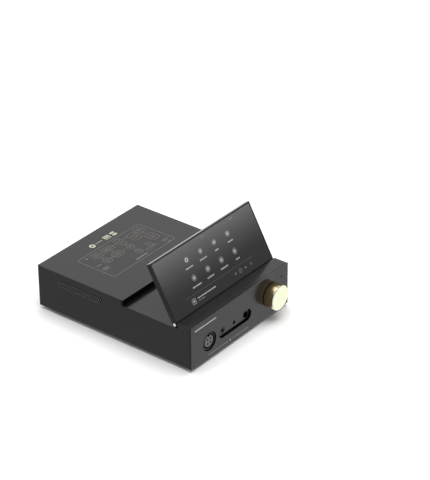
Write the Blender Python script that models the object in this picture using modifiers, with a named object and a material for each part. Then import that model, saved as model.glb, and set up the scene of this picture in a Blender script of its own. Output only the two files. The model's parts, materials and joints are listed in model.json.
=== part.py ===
"""Desktop audio converter and headphone amplifier with a tilting touch screen.

All sizes are millimetres; the helpers scale them to metres.
Frame: +X to the right along the front, +Y to the back, +Z up. The origin lies
on the surface that the feet stand on, at the middle of the whole footprint.
The case is drawn in body coordinates under the empty "body_datum": X and Y
from the middle of the case and Z from its lower edge. The screen is drawn flat
under "screen_axis", and what sits on the front is drawn under "knob_axis".
"""
import math

import bmesh
import bpy
from mathutils import Matrix, Vector

MM = 0.001
GAP = 0.3

# Case
BODY_WIDTH = 188.0
BODY_DEPTH = 237.6
BODY_HEIGHT = 56.4
FOOT_CLEARANCE = 4.2
KNOB_PROTRUSION = 14.0
REAR_PROTRUSION = 7.5
WALL = 3.0
EDGE_CHAMFER = 0.5
PANEL_THICKNESS = 2.2
FLOOR_THICKNESS = 2.5
BASE_LOW, BASE_HIGH = 0.4, 2.2

HALF_WIDTH = BODY_WIDTH / 2
INNER_X = HALF_WIDTH - WALL
FRONT_Y = -BODY_DEPTH / 2
REAR_Y = BODY_DEPTH / 2
PANEL_BACK_Y = FRONT_Y + PANEL_THICKNESS
HOUSING_FRONT_Y = PANEL_BACK_Y + GAP
ROOF_Z = BODY_HEIGHT - WALL
BODY_CENTRE_Y = (KNOB_PROTRUSION - REAR_PROTRUSION) / 2

# Screen recess and the radio window along its rear step
STEP_Y = -15.9
RECESS_FRONT_Y = -98.5
RECESS_FLOOR_Z = 49.4
WINDOW_TOP_Z = 55.3
WINDOW_DEPTH = 2.2
WINDOW_FOOT = 4.1
WINDOW_SINK = 1.0

# Screen, drawn flat: y up the panel from the hinge, z out of the glass
HINGE_Y, HINGE_Z = -94.2, 52.8
SCREEN_TILT = 61.0
SCREEN_LENGTH = 77.6
SCREEN_HALF_THICKNESS = 3.0
SCREEN_RIM = 0.7
SCREEN_POCKET_Z = -1.8
SCREEN_POCKET_LOW_Y = 1.3
GLASS_BACK_Z, GLASS_FRONT_Z = 1.9, 2.9
KNUCKLE_X = 62.0
KNUCKLE_HALF_WIDTH = 6.0
KNUCKLE_RADIUS = 1.65
PIN_RADIUS = 0.9
PIN_HOLE_RADIUS = 1.2
PIN_HEAD_RADIUS = 1.6
PIN_INNER_X = 52.0

# Front sockets
SOCKET_Z = 22.6
XLR_X = -59.7
XLR_HOLE_RADIUS = 12.3
XLR_WELL_RADIUS = 9.7
XLR_INSERT_RADIUS = 7.8
STADIUM_LEFT_X, STADIUM_RIGHT_X = -34.4, 12.5
STADIUM_RADIUS = 7.8
BEZEL_FACE_Y = HOUSING_FRONT_Y
BEZEL_BACK_Y = BEZEL_FACE_Y + 1.8
SOCKET_BOARD_Z = (12.7, 14.3)
# Each jack: middle, radii of bezel opening, nose and bore, nose's setback, body's half width, top and back
JACKS = {
    "balanced_jack": (-31.8, 4.4, 4.0, 2.3, 0.8, 6.5, 29.6, -92.0),
    "small_jack": (-9.8, 1.95, 2.9, 1.8, 1.8 + GAP, 4.5, 28.0, -100.0),
    "headphone_jack": (12.2, 4.7, 4.4, 3.3, -0.2, 8.0, 30.6, -82.0),
}

# Volume control
KNOB_X, KNOB_Z = 60.1, BODY_HEIGHT / 2
KNOB_RADIUS = 16.0
KNOB_CHAMFER = 1.0
KNOB_STANDOFF = 1.0
KNOB_RECESS_RADIUS = 7.2
SHAFT_RADIUS = 3.0
SHAFT_BORE_RADIUS = 3.3
SHAFT_INNER_Z = -5.5
PLUNGER_INNER_Z = -13.5
ENCODER_HALF, ENCODER_INNER_Z = 7.0, -11.8
BUSH_RADIUS, BUSH_TOP_Z = 3.55, 3.0
NUT_RADIUS, NUT_TOP_Z = 5.8, 2.1
LIGHT_XZ, SENSOR_XZ = (62.0, 48.7), (80.4, 43.5)

# Side vents
VENT_PITCH = 3.6
VENT_HOLE_RADIUS = 1.2
VENT_CENTRE_Y, VENT_CENTRE_Z = 51.5, 43.0
VENT_ROWS = (19, 20, 19)

# Rear connectors
REAR_PANEL_Y = (115.3, 117.3)
REAR_FLANGE_Y = REAR_PANEL_Y[1] + GAP
INLET_X, SWITCH_X, ETHERNET_X, USB_X, COAX_X, RCA_X = -68.0, -42.0, -22.0, -3.0, -3.0, 14.0
XLR_OUT_X = {"left": 38.0, "right": 67.0}
REAR_LOW_Z, REAR_MID_Z, REAR_HIGH_Z = 15.5, 27.0, 38.5
XLR_OUT_BODY_RADIUS = 11.5
PHONO_XZ = {
    "phono_output_left": (RCA_X, REAR_HIGH_Z),
    "phono_output_right": (RCA_X, REAR_LOW_Z),
    "coaxial_input": (COAX_X, REAR_HIGH_Z),
}
# Each cutout: its middle, half width and half height
REAR_CUTOUTS = {
    "inlet_cutout": (INLET_X, REAR_MID_Z, 14.3, 10.4),
    "switch_cutout": (SWITCH_X, REAR_MID_Z, 6.9, 10.9),
    "ethernet_cutout": (ETHERNET_X, REAR_LOW_Z, 8.4, 7.2),
    "usb_cutout": (USB_X, REAR_LOW_Z, 6.4, 5.9),
}
ROCKER_AXIS_Y = 113.0
ROCKER_TILT = 8.0

# Inside
POST_X = 87.0
POST_Y = {"front": -108.0, "rear": 110.0}
POST_HALF_X, POST_HALF_Y, POST_TOP_Z = 4.5, 4.0, 24.0
SCREW_HOLE_RADIUS = 1.8
REAR_SCREW_Z = 20.0
REAR_SCREW_HOLE_RADIUS = 1.5
FOOT_XY = (74.0, 98.0)
STANDOFF_X, STANDOFF_Y = (-81, -41, -24, 78), (-54, 90)
STANDOFF_RADIUS, STANDOFF_TOP_Z = 2.8, 7.2
BASE_SLOT_Y = (-40, -30, -20, -10, 0, 40, 50, 60, 70, 80)
BOARD_Z = (7.5, 9.1)
PART_Z = BOARD_Z[1] + GAP
MAIN_BOARD_X, POWER_BOARD_X, BOARD_Y = (-30.0, 84.0), (-86.0, -36.0), (-60.0, 96.0)

# Colour, roughness and metallic value of each material
MATERIAL_VALUES = {
    "black_aluminium": ((0.055, 0.055, 0.057), 0.42, 0.85),
    "screen_aluminium": ((0.045, 0.045, 0.047), 0.38, 0.85),
    "polished_brass": ((0.86, 0.72, 0.42), 0.18, 1.0),
    "screen_glass": ((0.015, 0.016, 0.018), 0.06, 0.0),
    "black_plastic": ((0.02, 0.02, 0.021), 0.45, 0.0),
    "dark_rubber": ((0.025, 0.025, 0.025), 0.8, 0.0),
    "plated_metal": ((0.72, 0.72, 0.73), 0.2, 1.0),
    "gold_plate": ((0.83, 0.62, 0.25), 0.22, 1.0),
    "steel_sheet": ((0.12, 0.12, 0.125), 0.42, 0.3),
    "circuit_board": ((0.02, 0.10, 0.06), 0.5, 0.0),
    "capacitor_sleeve": ((0.03, 0.03, 0.06), 0.35, 0.0),
    "clear_window": ((0.06, 0.05, 0.05), 0.15, 0.0),
}

AXIS_TURN = {
    "X": Matrix.Rotation(math.radians(90), 4, "Y"),
    "Y": Matrix.Rotation(math.radians(-90), 4, "X"),
    "-Y": Matrix.Rotation(math.radians(90), 4, "X"),
    "Z": Matrix.Identity(4),
}


def clear_scene():
    for obj in list(bpy.data.objects):
        bpy.data.objects.remove(obj, do_unlink=True)


def make_collection(name):
    collection = bpy.data.collections.new(name)
    bpy.context.scene.collection.children.link(collection)
    return collection


def make_materials():
    materials = {}
    for name, (colour, roughness, metallic) in MATERIAL_VALUES.items():
        material = bpy.data.materials.new(name)
        material.use_nodes = True
        shader = material.node_tree.nodes["Principled BSDF"]
        shader.inputs["Base Color"].default_value = (*colour, 1.0)
        shader.inputs["Roughness"].default_value = roughness
        shader.inputs["Metallic"].default_value = metallic
        materials[name] = material
    return materials


clear_scene()
PARTS = make_collection("desktop_dac")
CUTTERS = make_collection("cutters")
MATERIALS = make_materials()


# ---------------------------------------------------------------- helpers

def make_empty(name, location, parent=None, turn=Matrix.Identity(4)):
    empty = bpy.data.objects.new(name, None)
    CUTTERS.objects.link(empty)
    empty.parent = parent
    empty.matrix_basis = Matrix.Translation(Vector(location) * MM) @ turn
    return empty


def add_object(name, mesh, parent, material):
    """Link a mesh as a part, or, with no material, as a hidden cutter for Booleans."""
    obj = bpy.data.objects.new(name, mesh)
    obj.parent = parent
    if material is None:
        CUTTERS.objects.link(obj)
        obj.hide_render = True
        obj.display_type = "WIRE"
    else:
        PARTS.objects.link(obj)
        mesh.materials.append(MATERIALS[material])
    return obj


def box(name, x, y, z, parent, material=None, chamfer=0.0):
    bm = bmesh.new()
    bmesh.ops.create_cube(bm, size=1.0)
    low, high = Vector((x[0], y[0], z[0])) * MM, Vector((x[1], y[1], z[1])) * MM
    bmesh.ops.scale(bm, vec=high - low, verts=bm.verts)
    mesh = bpy.data.meshes.new(name)
    bm.to_mesh(mesh)
    bm.free()
    obj = add_object(name, mesh, parent, material)
    obj.location = (low + high) / 2
    if chamfer:
        bevel = obj.modifiers.new("chamfer", "BEVEL")
        bevel.width = chamfer * MM
        bevel.segments = 1
    return obj


def around(centre, half):
    """The span of a size that is centred on a place."""
    return centre - half, centre + half


def cylinders(name, centres, axis, radius, span, parent, material=None, sides=24):
    """Equal cylinders in one mesh; span is their reach along the axis from each centre."""
    bm = bmesh.new()
    middle, depth = sum(span) / 2, span[1] - span[0]
    for centre in centres:
        place = Matrix.Translation(Vector(centre) * MM) @ AXIS_TURN[axis]
        bmesh.ops.create_cone(bm, cap_ends=True, segments=sides, radius1=radius * MM, radius2=radius * MM,
                              depth=depth * MM, matrix=place @ Matrix.Translation((0, 0, middle * MM)))
    mesh = bpy.data.meshes.new(name)
    bm.to_mesh(mesh)
    bm.free()
    smooth(mesh)
    return add_object(name, mesh, parent, material)


def turned(name, profile, centre, axis, parent, material=None, sides=24):
    """Turn an outline of (radius, height) points; it runs down the outer side, top to bottom."""
    mesh = bpy.data.meshes.new(name)
    points = [(radius * MM, 0.0, height * MM) for radius, height in profile]
    mesh.from_pydata(points, [(i, i + 1) for i in range(len(points) - 1)], [])
    obj = add_object(name, mesh, parent, material)
    obj.matrix_basis = Matrix.Translation(Vector(centre) * MM) @ AXIS_TURN[axis]
    screw = obj.modifiers.new("turn", "SCREW")
    screw.steps = sides
    screw.render_steps = sides
    screw.use_merge_vertices = True
    screw.merge_threshold = 0.00001
    screw.use_smooth_shade = False
    return obj


def smooth(mesh):
    mesh.shade_smooth()
    mesh.set_sharp_from_angle(angle=math.radians(35))


def arc(centre, radius, start, stop, steps):
    """Points on an arc, angles in degrees."""
    for step in range(steps + 1):
        angle = math.radians(start + (stop - start) * step / steps)
        yield centre[0] + radius * math.cos(angle), centre[1] + radius * math.sin(angle)


def rounded_outline(u, v, radius, steps):
    """A rectangle with round corners; with radius half its height it is a stadium."""
    points = []
    for corner, (cu, cv) in enumerate(((u[1], v[1]), (u[0], v[1]), (u[0], v[0]), (u[1], v[0]))):
        centre = (cu - math.copysign(radius, cu - sum(u) / 2),
                  cv - math.copysign(radius, cv - sum(v) / 2))
        points += arc(centre, radius, 90 * corner, 90 * corner + 90, steps)
    return points


def prism(name, outline, along, span, parent, material=None):
    """Extrude a closed outline: (y, z) points along X, (x, z) along Y or (x, y) along Z."""
    curve = bpy.data.curves.new(name, "CURVE")
    curve.dimensions = "2D"
    curve.fill_mode = "BOTH"
    curve.extrude = (span[1] - span[0]) * MM / 2
    spline = curve.splines.new("POLY")
    spline.points.add(len(outline) - 1)
    for point, (u, v) in zip(spline.points, outline):
        point.co = (u * MM, v * MM, 0.0, 1.0)
    spline.use_cyclic_u = True
    guide = bpy.data.objects.new(name + "_outline", curve)
    CUTTERS.objects.link(guide)
    mesh = bpy.data.meshes.new_from_object(guide.evaluated_get(bpy.context.evaluated_depsgraph_get()))
    bpy.data.objects.remove(guide)
    bm = bmesh.new()
    bm.from_mesh(mesh)
    bmesh.ops.remove_doubles(bm, verts=bm.verts, dist=0.000001)
    bmesh.ops.recalc_face_normals(bm, faces=bm.faces)
    bm.to_mesh(mesh)
    bm.free()
    middle = sum(span) * MM / 2
    turns = {
        "X": Matrix(((0, 0, 1, middle), (1, 0, 0, 0), (0, 1, 0, 0), (0, 0, 0, 1))),
        "Y": Matrix(((1, 0, 0, 0), (0, 0, -1, middle), (0, 1, 0, 0), (0, 0, 0, 1))),
        "Z": Matrix.Translation((0, 0, middle)),
    }
    mesh.transform(turns[along])
    mesh.materials.clear()
    return add_object(name, mesh, parent, material)


def boolean(target, operation, tools):
    for tool in tools:
        change = target.modifiers.new(operation.lower(), "BOOLEAN")
        change.operation = operation
        change.solver = "EXACT"
        change.object = tool
    return target


def cut(target, *tools):
    return boolean(target, "DIFFERENCE", tools)


def join(target, *tools):
    return boolean(target, "UNION", tools)


# ------------------------------------------------------------------- case

def vent_centres():
    """Staggered rows of holes, each row half a pitch off its neighbours."""
    row_step = VENT_PITCH * math.sin(math.radians(60))
    for row, count in enumerate(VENT_ROWS):
        z = VENT_CENTRE_Z + (row - (len(VENT_ROWS) - 1) / 2) * row_step
        for hole in range(count):
            yield 0.0, VENT_CENTRE_Y + (hole - (count - 1) / 2) * VENT_PITCH, z


def post_places():
    for y in POST_Y.values():
        for side in (-1, 1):
            yield side * POST_X, y


def rear_screw_places(y):
    return [(side * POST_X, y, REAR_SCREW_Z) for side in (-1, 1)]


def make_main_housing(datum):
    """Folded and milled shell: roof, sides, screen recess and front strip; front, back and base are open."""
    housing = box("main_housing", around(0, HALF_WIDTH), (HOUSING_FRONT_Y, REAR_Y), (0, BODY_HEIGHT),
                  datum, "black_aluminium", EDGE_CHAMFER)
    inner = around(0, INNER_X)
    below_floor_z = RECESS_FLOOR_Z - FLOOR_THICKNESS
    beyond = 5.0
    step_wall_back_y = STEP_Y + WINDOW_DEPTH + 2.3
    cable_slot_y = (HINGE_Y + 1.6, HINGE_Y + 3.6)
    window_seat = around(0, HALF_WIDTH + beyond)
    roof_space_z = (below_floor_z - beyond, ROOF_Z)
    cut(housing,
        box("recess_space", window_seat, (RECESS_FRONT_Y, STEP_Y), (RECESS_FLOOR_Z, BODY_HEIGHT + beyond),
            datum),
        box("main_space", inner, (FRONT_Y - beyond, REAR_Y + beyond), (-beyond, below_floor_z), datum),
        box("rear_space", inner, (step_wall_back_y, REAR_Y + beyond), roof_space_z, datum),
        box("strip_space", inner, (FRONT_Y - beyond, RECESS_FRONT_Y - WALL), roof_space_z, datum),
        box("window_seat", window_seat, (STEP_Y - beyond, STEP_Y + WINDOW_DEPTH + GAP),
            (RECESS_FLOOR_Z - WINDOW_SINK - GAP, RECESS_FLOOR_Z + GAP), datum),
        box("window_slot", window_seat, (STEP_Y - GAP, STEP_Y + WINDOW_DEPTH + GAP),
            (RECESS_FLOOR_Z - WINDOW_SINK - GAP, WINDOW_TOP_Z + GAP), datum),
        box("aerial_opening", around(0, 40), (STEP_Y, step_wall_back_y + beyond), (50.2, 53.0), datum),
        box("screen_cable_slot", around(0, 8), cable_slot_y,
            (below_floor_z - beyond, RECESS_FLOOR_Z + beyond), datum))
    for side, x in knuckle_places():
        cut(housing, box("knuckle_slot_" + side, around(x, KNUCKLE_HALF_WIDTH + GAP),
                         around(HINGE_Y, KNUCKLE_RADIUS + GAP),
                         (below_floor_z - beyond, RECESS_FLOOR_Z + beyond), datum))
    posts = [box(f"post_{i}", around(x, POST_HALF_X), around(y, POST_HALF_Y),
                 (BASE_HIGH + GAP, POST_TOP_Z), datum)
             for i, (x, y) in enumerate(post_places())]
    join(housing, *posts)
    cut(housing,
        cylinders("post_holes", [(x, y, 0) for x, y in post_places()], "Z", SCREW_HOLE_RADIUS, (0, 14),
                  datum, sides=10),
        cylinders("rear_post_holes", rear_screw_places(REAR_PANEL_Y[0]), "-Y", REAR_SCREW_HOLE_RADIUS,
                  (-3, 5.6), datum, sides=10))
    for side in (-1, 1):
        centres = [(side * HALF_WIDTH, y, z) for _, y, z in vent_centres()]
        cut(housing, cylinders(f"vent_drills_{side}", centres, "X", VENT_HOLE_RADIUS, around(0, WALL + 1),
                               datum, sides=6))


def make_front_panel(datum):
    panel = box("front_panel", around(0, HALF_WIDTH), (FRONT_Y, PANEL_BACK_Y), (0, BODY_HEIGHT),
                datum, "black_aluminium", EDGE_CHAMFER)
    through = (-2, 6)
    stadium = rounded_outline((STADIUM_LEFT_X - STADIUM_RADIUS, STADIUM_RIGHT_X + STADIUM_RADIUS),
                              around(SOCKET_Z, STADIUM_RADIUS), STADIUM_RADIUS, 8)
    cut(panel, prism("stadium_hole", stadium, "Y", (FRONT_Y - 2, FRONT_Y + 6), datum))
    for name, (x, z), radius, sides in (("xlr_hole", (XLR_X, SOCKET_Z), XLR_HOLE_RADIUS, 40),
                                        ("bush_hole", (KNOB_X, KNOB_Z), BUSH_RADIUS + 0.25, 16),
                                        ("light_hole", LIGHT_XZ, 1.0, 12),
                                        ("sensor_hole", SENSOR_XZ, 1.5, 12)):
        cut(panel, cylinders(name, [(x, FRONT_Y, z)], "Y", radius, through, datum, sides=sides))


def make_lights(datum):
    for name, (x, z), radius in (("status_light", LIGHT_XZ, 0.7),
                                 ("remote_sensor_window", SENSOR_XZ, 1.2)):
        cylinders(name, [(x, FRONT_Y, z)], "Y", radius, (0.1, 5.0), datum, "clear_window", sides=12)


def make_bottom_plate(datum):
    plate = box("bottom_plate", around(0, INNER_X - GAP), (HOUSING_FRONT_Y + GAP, REAR_Y - 1.5),
                (BASE_LOW, BASE_HIGH), datum, "steel_sheet")
    standoff_places = [(x, y, 0) for x in STANDOFF_X for y in STANDOFF_Y]
    join(plate, cylinders("standoffs", standoff_places, "Z", STANDOFF_RADIUS,
                          (BASE_HIGH - 0.5, STANDOFF_TOP_Z), datum, sides=10))
    cut(plate, cylinders("plate_screw_holes", [(x, y, 0) for x, y in post_places()], "Z",
                         SCREW_HOLE_RADIUS, (-1, 4), datum, sides=10))
    for i, y in enumerate(BASE_SLOT_Y):
        cut(plate, box(f"plate_slot_{i}", around(20, 25), around(y, 1.5), (-1, 4), datum))
    screw = [(0, 12.0), (1.5, 12.0), (1.5, 0.1), (2.8, 0.1), (2.8, -1.1), (2.3, -1.6), (1.2, -1.6),
             (1.2, -0.6), (0, -0.6)]
    for i, (x, y) in enumerate(post_places()):
        turned(f"base_screw_{i + 1}", screw, (x, y, 0), "Z", datum, "steel_sheet", sides=12)


def make_feet(datum):
    profile = [(0, 0.1), (9.0, 0.1), (9.0, -3.2), (8.0, -FOOT_CLEARANCE), (0, -FOOT_CLEARANCE)]
    for front_back, y in (("front", -FOOT_XY[1]), ("rear", FOOT_XY[1])):
        for side, x in (("left", -FOOT_XY[0]), ("right", FOOT_XY[0])):
            turned(f"foot_{front_back}_{side}", profile, (x, y, 0), "Z", datum, "dark_rubber", sides=20)


def make_radio_window(datum):
    """Plastic strip that lets radio through: it faces the recess step and turns under into the floor."""
    front_y, back_y = STEP_Y - WINDOW_FOOT, STEP_Y + WINDOW_DEPTH
    low_z = RECESS_FLOOR_Z - WINDOW_SINK
    outline = [(front_y, low_z), (back_y, low_z), (back_y, WINDOW_TOP_Z), (STEP_Y, WINDOW_TOP_Z),
               (STEP_Y, RECESS_FLOOR_Z), (front_y, RECESS_FLOOR_Z)]
    prism("radio_window", outline, "X", around(0, HALF_WIDTH - 0.2), datum, "black_plastic")
    box("radio_aerial", around(0, 30), (back_y + 2.7, back_y + 3.7), (38.0, 52.8), datum, "circuit_board")


# ------------------------------------------------------------------ screen

def knuckle_places():
    return ("left", -KNUCKLE_X), ("right", KNUCKLE_X)


def make_hinge_brackets(datum):
    """Knuckles that stand through the recess floor, each on a foot under it."""
    under_floor_z = RECESS_FLOOR_Z - FLOOR_THICKNESS - GAP
    foot_low_z = under_floor_z - 1.8
    for side, x in knuckle_places():
        width = around(x, KNUCKLE_HALF_WIDTH)
        bracket = box("hinge_bracket_" + side, width, around(HINGE_Y, KNUCKLE_RADIUS),
                      (foot_low_z, HINGE_Z), datum, "steel_sheet")
        join(bracket,
             box("bracket_foot_" + side, width, (HINGE_Y - 3.0, HINGE_Y + 12.0),
                 (foot_low_z, under_floor_z), datum),
             cylinders("bracket_eye_" + side, [(x, HINGE_Y, HINGE_Z)], "X", KNUCKLE_RADIUS,
                       around(0, KNUCKLE_HALF_WIDTH), datum, sides=24))
        cut(bracket, cylinders("bracket_bore_" + side, [(x, HINGE_Y, HINGE_Z)], "X", PIN_HOLE_RADIUS,
                               around(0, KNUCKLE_HALF_WIDTH + 2), datum, sides=16))


def make_screen_frame(axis):
    """Back shell of the screen: a tray whose lower edge is a full round about the hinge."""
    half = SCREEN_HALF_THICKNESS
    outline = list(arc((0, 0), half, 90, 270, 10)) + [(SCREEN_LENGTH, -half), (SCREEN_LENGTH, half)]
    frame = prism("screen_frame", outline, "X", around(0, HALF_WIDTH), axis, "screen_aluminium")
    pocket = rounded_outline(around(0, HALF_WIDTH - SCREEN_RIM),
                             (SCREEN_POCKET_LOW_Y, SCREEN_LENGTH - SCREEN_RIM), 2.6, 4)
    cut(frame, prism("screen_pocket", pocket, "Z", (SCREEN_POCKET_Z, half + 2), axis))
    clear, room = KNUCKLE_RADIUS + 0.35, KNUCKLE_HALF_WIDTH + 0.4
    for side, x in knuckle_places():
        width = around(x, room)
        outward = -1 if side == "left" else 1
        cut(frame,
            box("knuckle_room_back_" + side, width, (-4, clear + 0.3), (-4, 0), axis),
            box("knuckle_room_low_" + side, width, (-4, 0), (-4, clear), axis),
            cylinders("knuckle_room_eye_" + side, [(x, 0, 0)], "X", clear, around(0, room), axis),
            cylinders("pin_bore_" + side, [(0, 0, 0)], "X", PIN_HOLE_RADIUS,
                      sorted((outward * (PIN_INNER_X - 1), outward * (HALF_WIDTH + 2))), axis, sides=16),
            cylinders("pin_head_seat_" + side, [(outward * HALF_WIDTH, 0, 0)], "X",
                      PIN_HEAD_RADIUS + GAP, around(0, 1.6), axis, sides=16))
        shank = sorted((outward * PIN_INNER_X, outward * (HALF_WIDTH - 0.6)))
        head = sorted((outward * (HALF_WIDTH - 1.2), outward * (HALF_WIDTH - 0.1)))
        pin = cylinders("hinge_pin_" + side, [(0, 0, 0)], "X", PIN_RADIUS, shank, axis, "plated_metal",
                        sides=16)
        join(pin, cylinders("pin_head_" + side, [(0, 0, 0)], "X", PIN_HEAD_RADIUS, head, axis, sides=16))


def make_screen(datum):
    axis = make_empty("screen_axis", (0, HINGE_Y, HINGE_Z), datum,
                      Matrix.Rotation(math.radians(SCREEN_TILT), 4, "X"))
    make_screen_frame(axis)
    glass = rounded_outline(around(0, HALF_WIDTH - SCREEN_RIM - GAP),
                            (SCREEN_POCKET_LOW_Y + GAP, SCREEN_LENGTH - SCREEN_RIM - GAP), 2.3, 4)
    prism("screen_glass", glass, "Z", (GLASS_BACK_Z, GLASS_FRONT_Z), axis, "screen_glass")
    box("display_panel", around(0, 70), (7.0, 72.0), (0.4, GLASS_BACK_Z - GAP), axis, "black_plastic")
    box("screen_board", around(0, 46), (18.0, 60.0), (SCREEN_POCKET_Z + GAP, 0.1), axis, "circuit_board")


# ---------------------------------------------------------- front sockets

def make_xlr_socket(datum):
    """Four pole balanced headphone socket: shell, and an insert that leaves a ring-shaped well."""
    face_depth, well_depth = 0.9, 16.0
    outer, flange = XLR_HOLE_RADIUS - GAP, 13.6
    flange_front, flange_back = PANEL_THICKNESS + GAP, PANEL_THICKNESS + GAP + 1.8
    shell = [(XLR_WELL_RADIUS, -face_depth), (outer, -face_depth), (outer, -flange_front),
             (flange, -flange_front), (flange, -flange_back), (outer, -flange_back),
             (outer, -well_depth - 3), (0, -well_depth - 3)]
    inside = [(0, -well_depth), (XLR_WELL_RADIUS, -well_depth)]
    turned("xlr_shell", inside + shell, (XLR_X, FRONT_Y, SOCKET_Z), "-Y", datum, "black_plastic",
           sides=32)
    insert = cylinders("xlr_insert", [(XLR_X, FRONT_Y, SOCKET_Z)], "Y", XLR_INSERT_RADIUS,
                       (face_depth, well_depth - GAP), datum, "black_plastic", sides=28)
    contacts = [(XLR_X + x, FRONT_Y, z) for x, z in arc((0, SOCKET_Z), 3.9, 45, 315, 3)]
    cut(insert, cylinders("contact_holes", contacts, "Y", 1.35, (-2, 11), datum, sides=12))


def make_jack(name, datum):
    """Round nose on a square body, with a blind bore for the plug."""
    x, _, nose_radius, bore_radius, setback, body_half, body_top, body_back = JACKS[name]
    nose_front = BEZEL_FACE_Y + setback
    body_front = BEZEL_BACK_Y + 2 * GAP
    jack = box(name, around(x, body_half), (body_front, body_back), (SOCKET_BOARD_Z[1] + GAP, body_top),
               datum, "black_plastic")
    join(jack, cylinders(name + "_nose", [(x, 0, SOCKET_Z)], "Y", nose_radius,
                         (nose_front, body_front + 1), datum))
    cut(jack, cylinders(name + "_bore", [(x, 0, SOCKET_Z)], "Y", bore_radius,
                        (nose_front - 2, body_back - 2), datum, sides=20))


def make_front_sockets(datum):
    make_xlr_socket(datum)
    bezel = box("socket_bezel", (STADIUM_LEFT_X - 10.9, STADIUM_RIGHT_X + 11), (BEZEL_FACE_Y, BEZEL_BACK_Y),
                around(SOCKET_Z, 10.6), datum, "black_aluminium")
    for name, (x, opening, *_) in JACKS.items():
        cut(bezel, cylinders(name + "_opening", [(x, BEZEL_FACE_Y, SOCKET_Z)], "Y", opening, (-2, 6),
                             datum))
    ring = [(2.4, 0.4), (4.1, 0.4), (4.1, -0.5), (2.4, -0.5), (2.4, 0.4)]
    turned("balanced_jack_ring", ring, (JACKS["balanced_jack"][0], BEZEL_FACE_Y, SOCKET_Z), "-Y", datum,
           "gold_plate")
    for name in JACKS:
        make_jack(name, datum)
    box("socket_board", (-44.0, 24.0), (BEZEL_BACK_Y + 2 * GAP, -78.0), SOCKET_BOARD_Z, datum,
        "circuit_board")


# ---------------------------------------------------------- volume control

def make_volume_control(datum):
    """Knob, shaft and rotary encoder, drawn with z out of the front panel."""
    axis = make_empty("knob_axis", (KNOB_X, FRONT_Y, KNOB_Z), datum, AXIS_TURN["-Y"])
    front, radius = KNOB_PROTRUSION, KNOB_RADIUS
    recess_z, bore_end_z = BUSH_TOP_Z + 1.9, KNOB_PROTRUSION - 2.8
    knob = [(0, front), (radius - KNOB_CHAMFER, front), (radius, front - KNOB_CHAMFER),
            (radius, KNOB_STANDOFF + 0.5), (radius - 0.5, KNOB_STANDOFF), (KNOB_RECESS_RADIUS, KNOB_STANDOFF),
            (KNOB_RECESS_RADIUS, recess_z), (SHAFT_BORE_RADIUS, recess_z), (SHAFT_BORE_RADIUS, bore_end_z),
            (0, bore_end_z)]
    turned("volume_knob", knob, (0, 0, 0), "Z", axis, "polished_brass", sides=40)
    cylinders("encoder_shaft", [(0, 0, 0)], "Z", SHAFT_RADIUS, (SHAFT_INNER_Z, bore_end_z - GAP), axis,
              "plated_metal", sides=20)
    cylinders("push_plunger", [(0, 0, 0)], "Z", SHAFT_RADIUS - GAP, (PLUNGER_INNER_Z, SHAFT_INNER_Z - GAP),
              axis, "black_plastic", sides=16)
    encoder = box("encoder_body", around(0, ENCODER_HALF), around(0, ENCODER_HALF),
                  (ENCODER_INNER_Z, -PANEL_THICKNESS - GAP), axis, "black_plastic")
    join(encoder, cylinders("encoder_bush", [(0, 0, 0)], "Z", BUSH_RADIUS, (-4, BUSH_TOP_Z), axis,
                            sides=20))
    cut(encoder, cylinders("encoder_bore", [(0, 0, 0)], "Z", SHAFT_BORE_RADIUS, (-15, 5), axis, sides=20))
    nut = cylinders("encoder_nut", [(0, 0, 0)], "Z", NUT_RADIUS, (GAP, NUT_TOP_Z), axis, "plated_metal",
                    sides=6)
    cut(nut, cylinders("nut_bore", [(0, 0, 0)], "Z", BUSH_RADIUS + 0.35, (-1, 4), axis, sides=20))


# -------------------------------------------------------------- rear panel

def make_rear_panel(datum):
    through = (REAR_PANEL_Y[0] - 2, REAR_PANEL_Y[1] + 2)
    panel = box("rear_panel", around(0, INNER_X - GAP), REAR_PANEL_Y, (BASE_HIGH + GAP, ROOF_Z - GAP),
                datum, "black_aluminium")
    for name, (x, z, half_width, half_height) in REAR_CUTOUTS.items():
        cut(panel, box(name, around(x, half_width), through, around(z, half_height), datum))
    outputs = [(x, REAR_PANEL_Y[0], REAR_MID_Z) for x in XLR_OUT_X.values()]
    phono = [(x, REAR_PANEL_Y[0], z) for x, z in PHONO_XZ.values()]
    screws = rear_screw_places(REAR_PANEL_Y[0])
    cut(panel,
        cylinders("xlr_out_holes", outputs, "Y", XLR_OUT_BODY_RADIUS + 0.4, (-2, 4), datum, sides=28),
        cylinders("phono_holes", phono, "Y", 4.5, (-2, 4), datum, sides=16),
        cylinders("rear_screw_holes", screws, "Y", REAR_SCREW_HOLE_RADIUS, (-2, 4), datum, sides=10))
    screw = [(0, 1.7), (2.2, 1.7), (2.5, 1.4), (2.5, GAP), (1.2, GAP), (1.2, -6.5), (0, -6.5)]
    for side, place in zip(("left", "right"), rear_screw_places(REAR_PANEL_Y[1])):
        turned("rear_screw_" + side, screw, place, "Y", datum, "steel_sheet", sides=12)


def make_power_inlet(datum):
    floor_y = 103.0
    inlet = box("power_inlet", around(INLET_X, 15.3), (REAR_FLANGE_Y, REAR_FLANGE_Y + 1.6),
                around(REAR_MID_Z, 11.4), datum, "black_plastic")
    join(inlet, box("inlet_body", around(INLET_X, 14.0), (97.0, REAR_FLANGE_Y + 0.5),
                    around(REAR_MID_Z, 10.1), datum))
    cut(inlet, box("inlet_cavity", around(INLET_X, 12.2), (floor_y, REAR_Y + 5), around(REAR_MID_Z, 8.3),
                   datum))
    for i, (x, z) in enumerate(((-7.0, -2.0), (0.0, 2.0), (7.0, -2.0))):
        join(inlet, box(f"inlet_pin_{i}", around(INLET_X + x, 1.0), (floor_y - 1, 116.0),
                        around(REAR_MID_Z + z, 2.0), datum))


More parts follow.
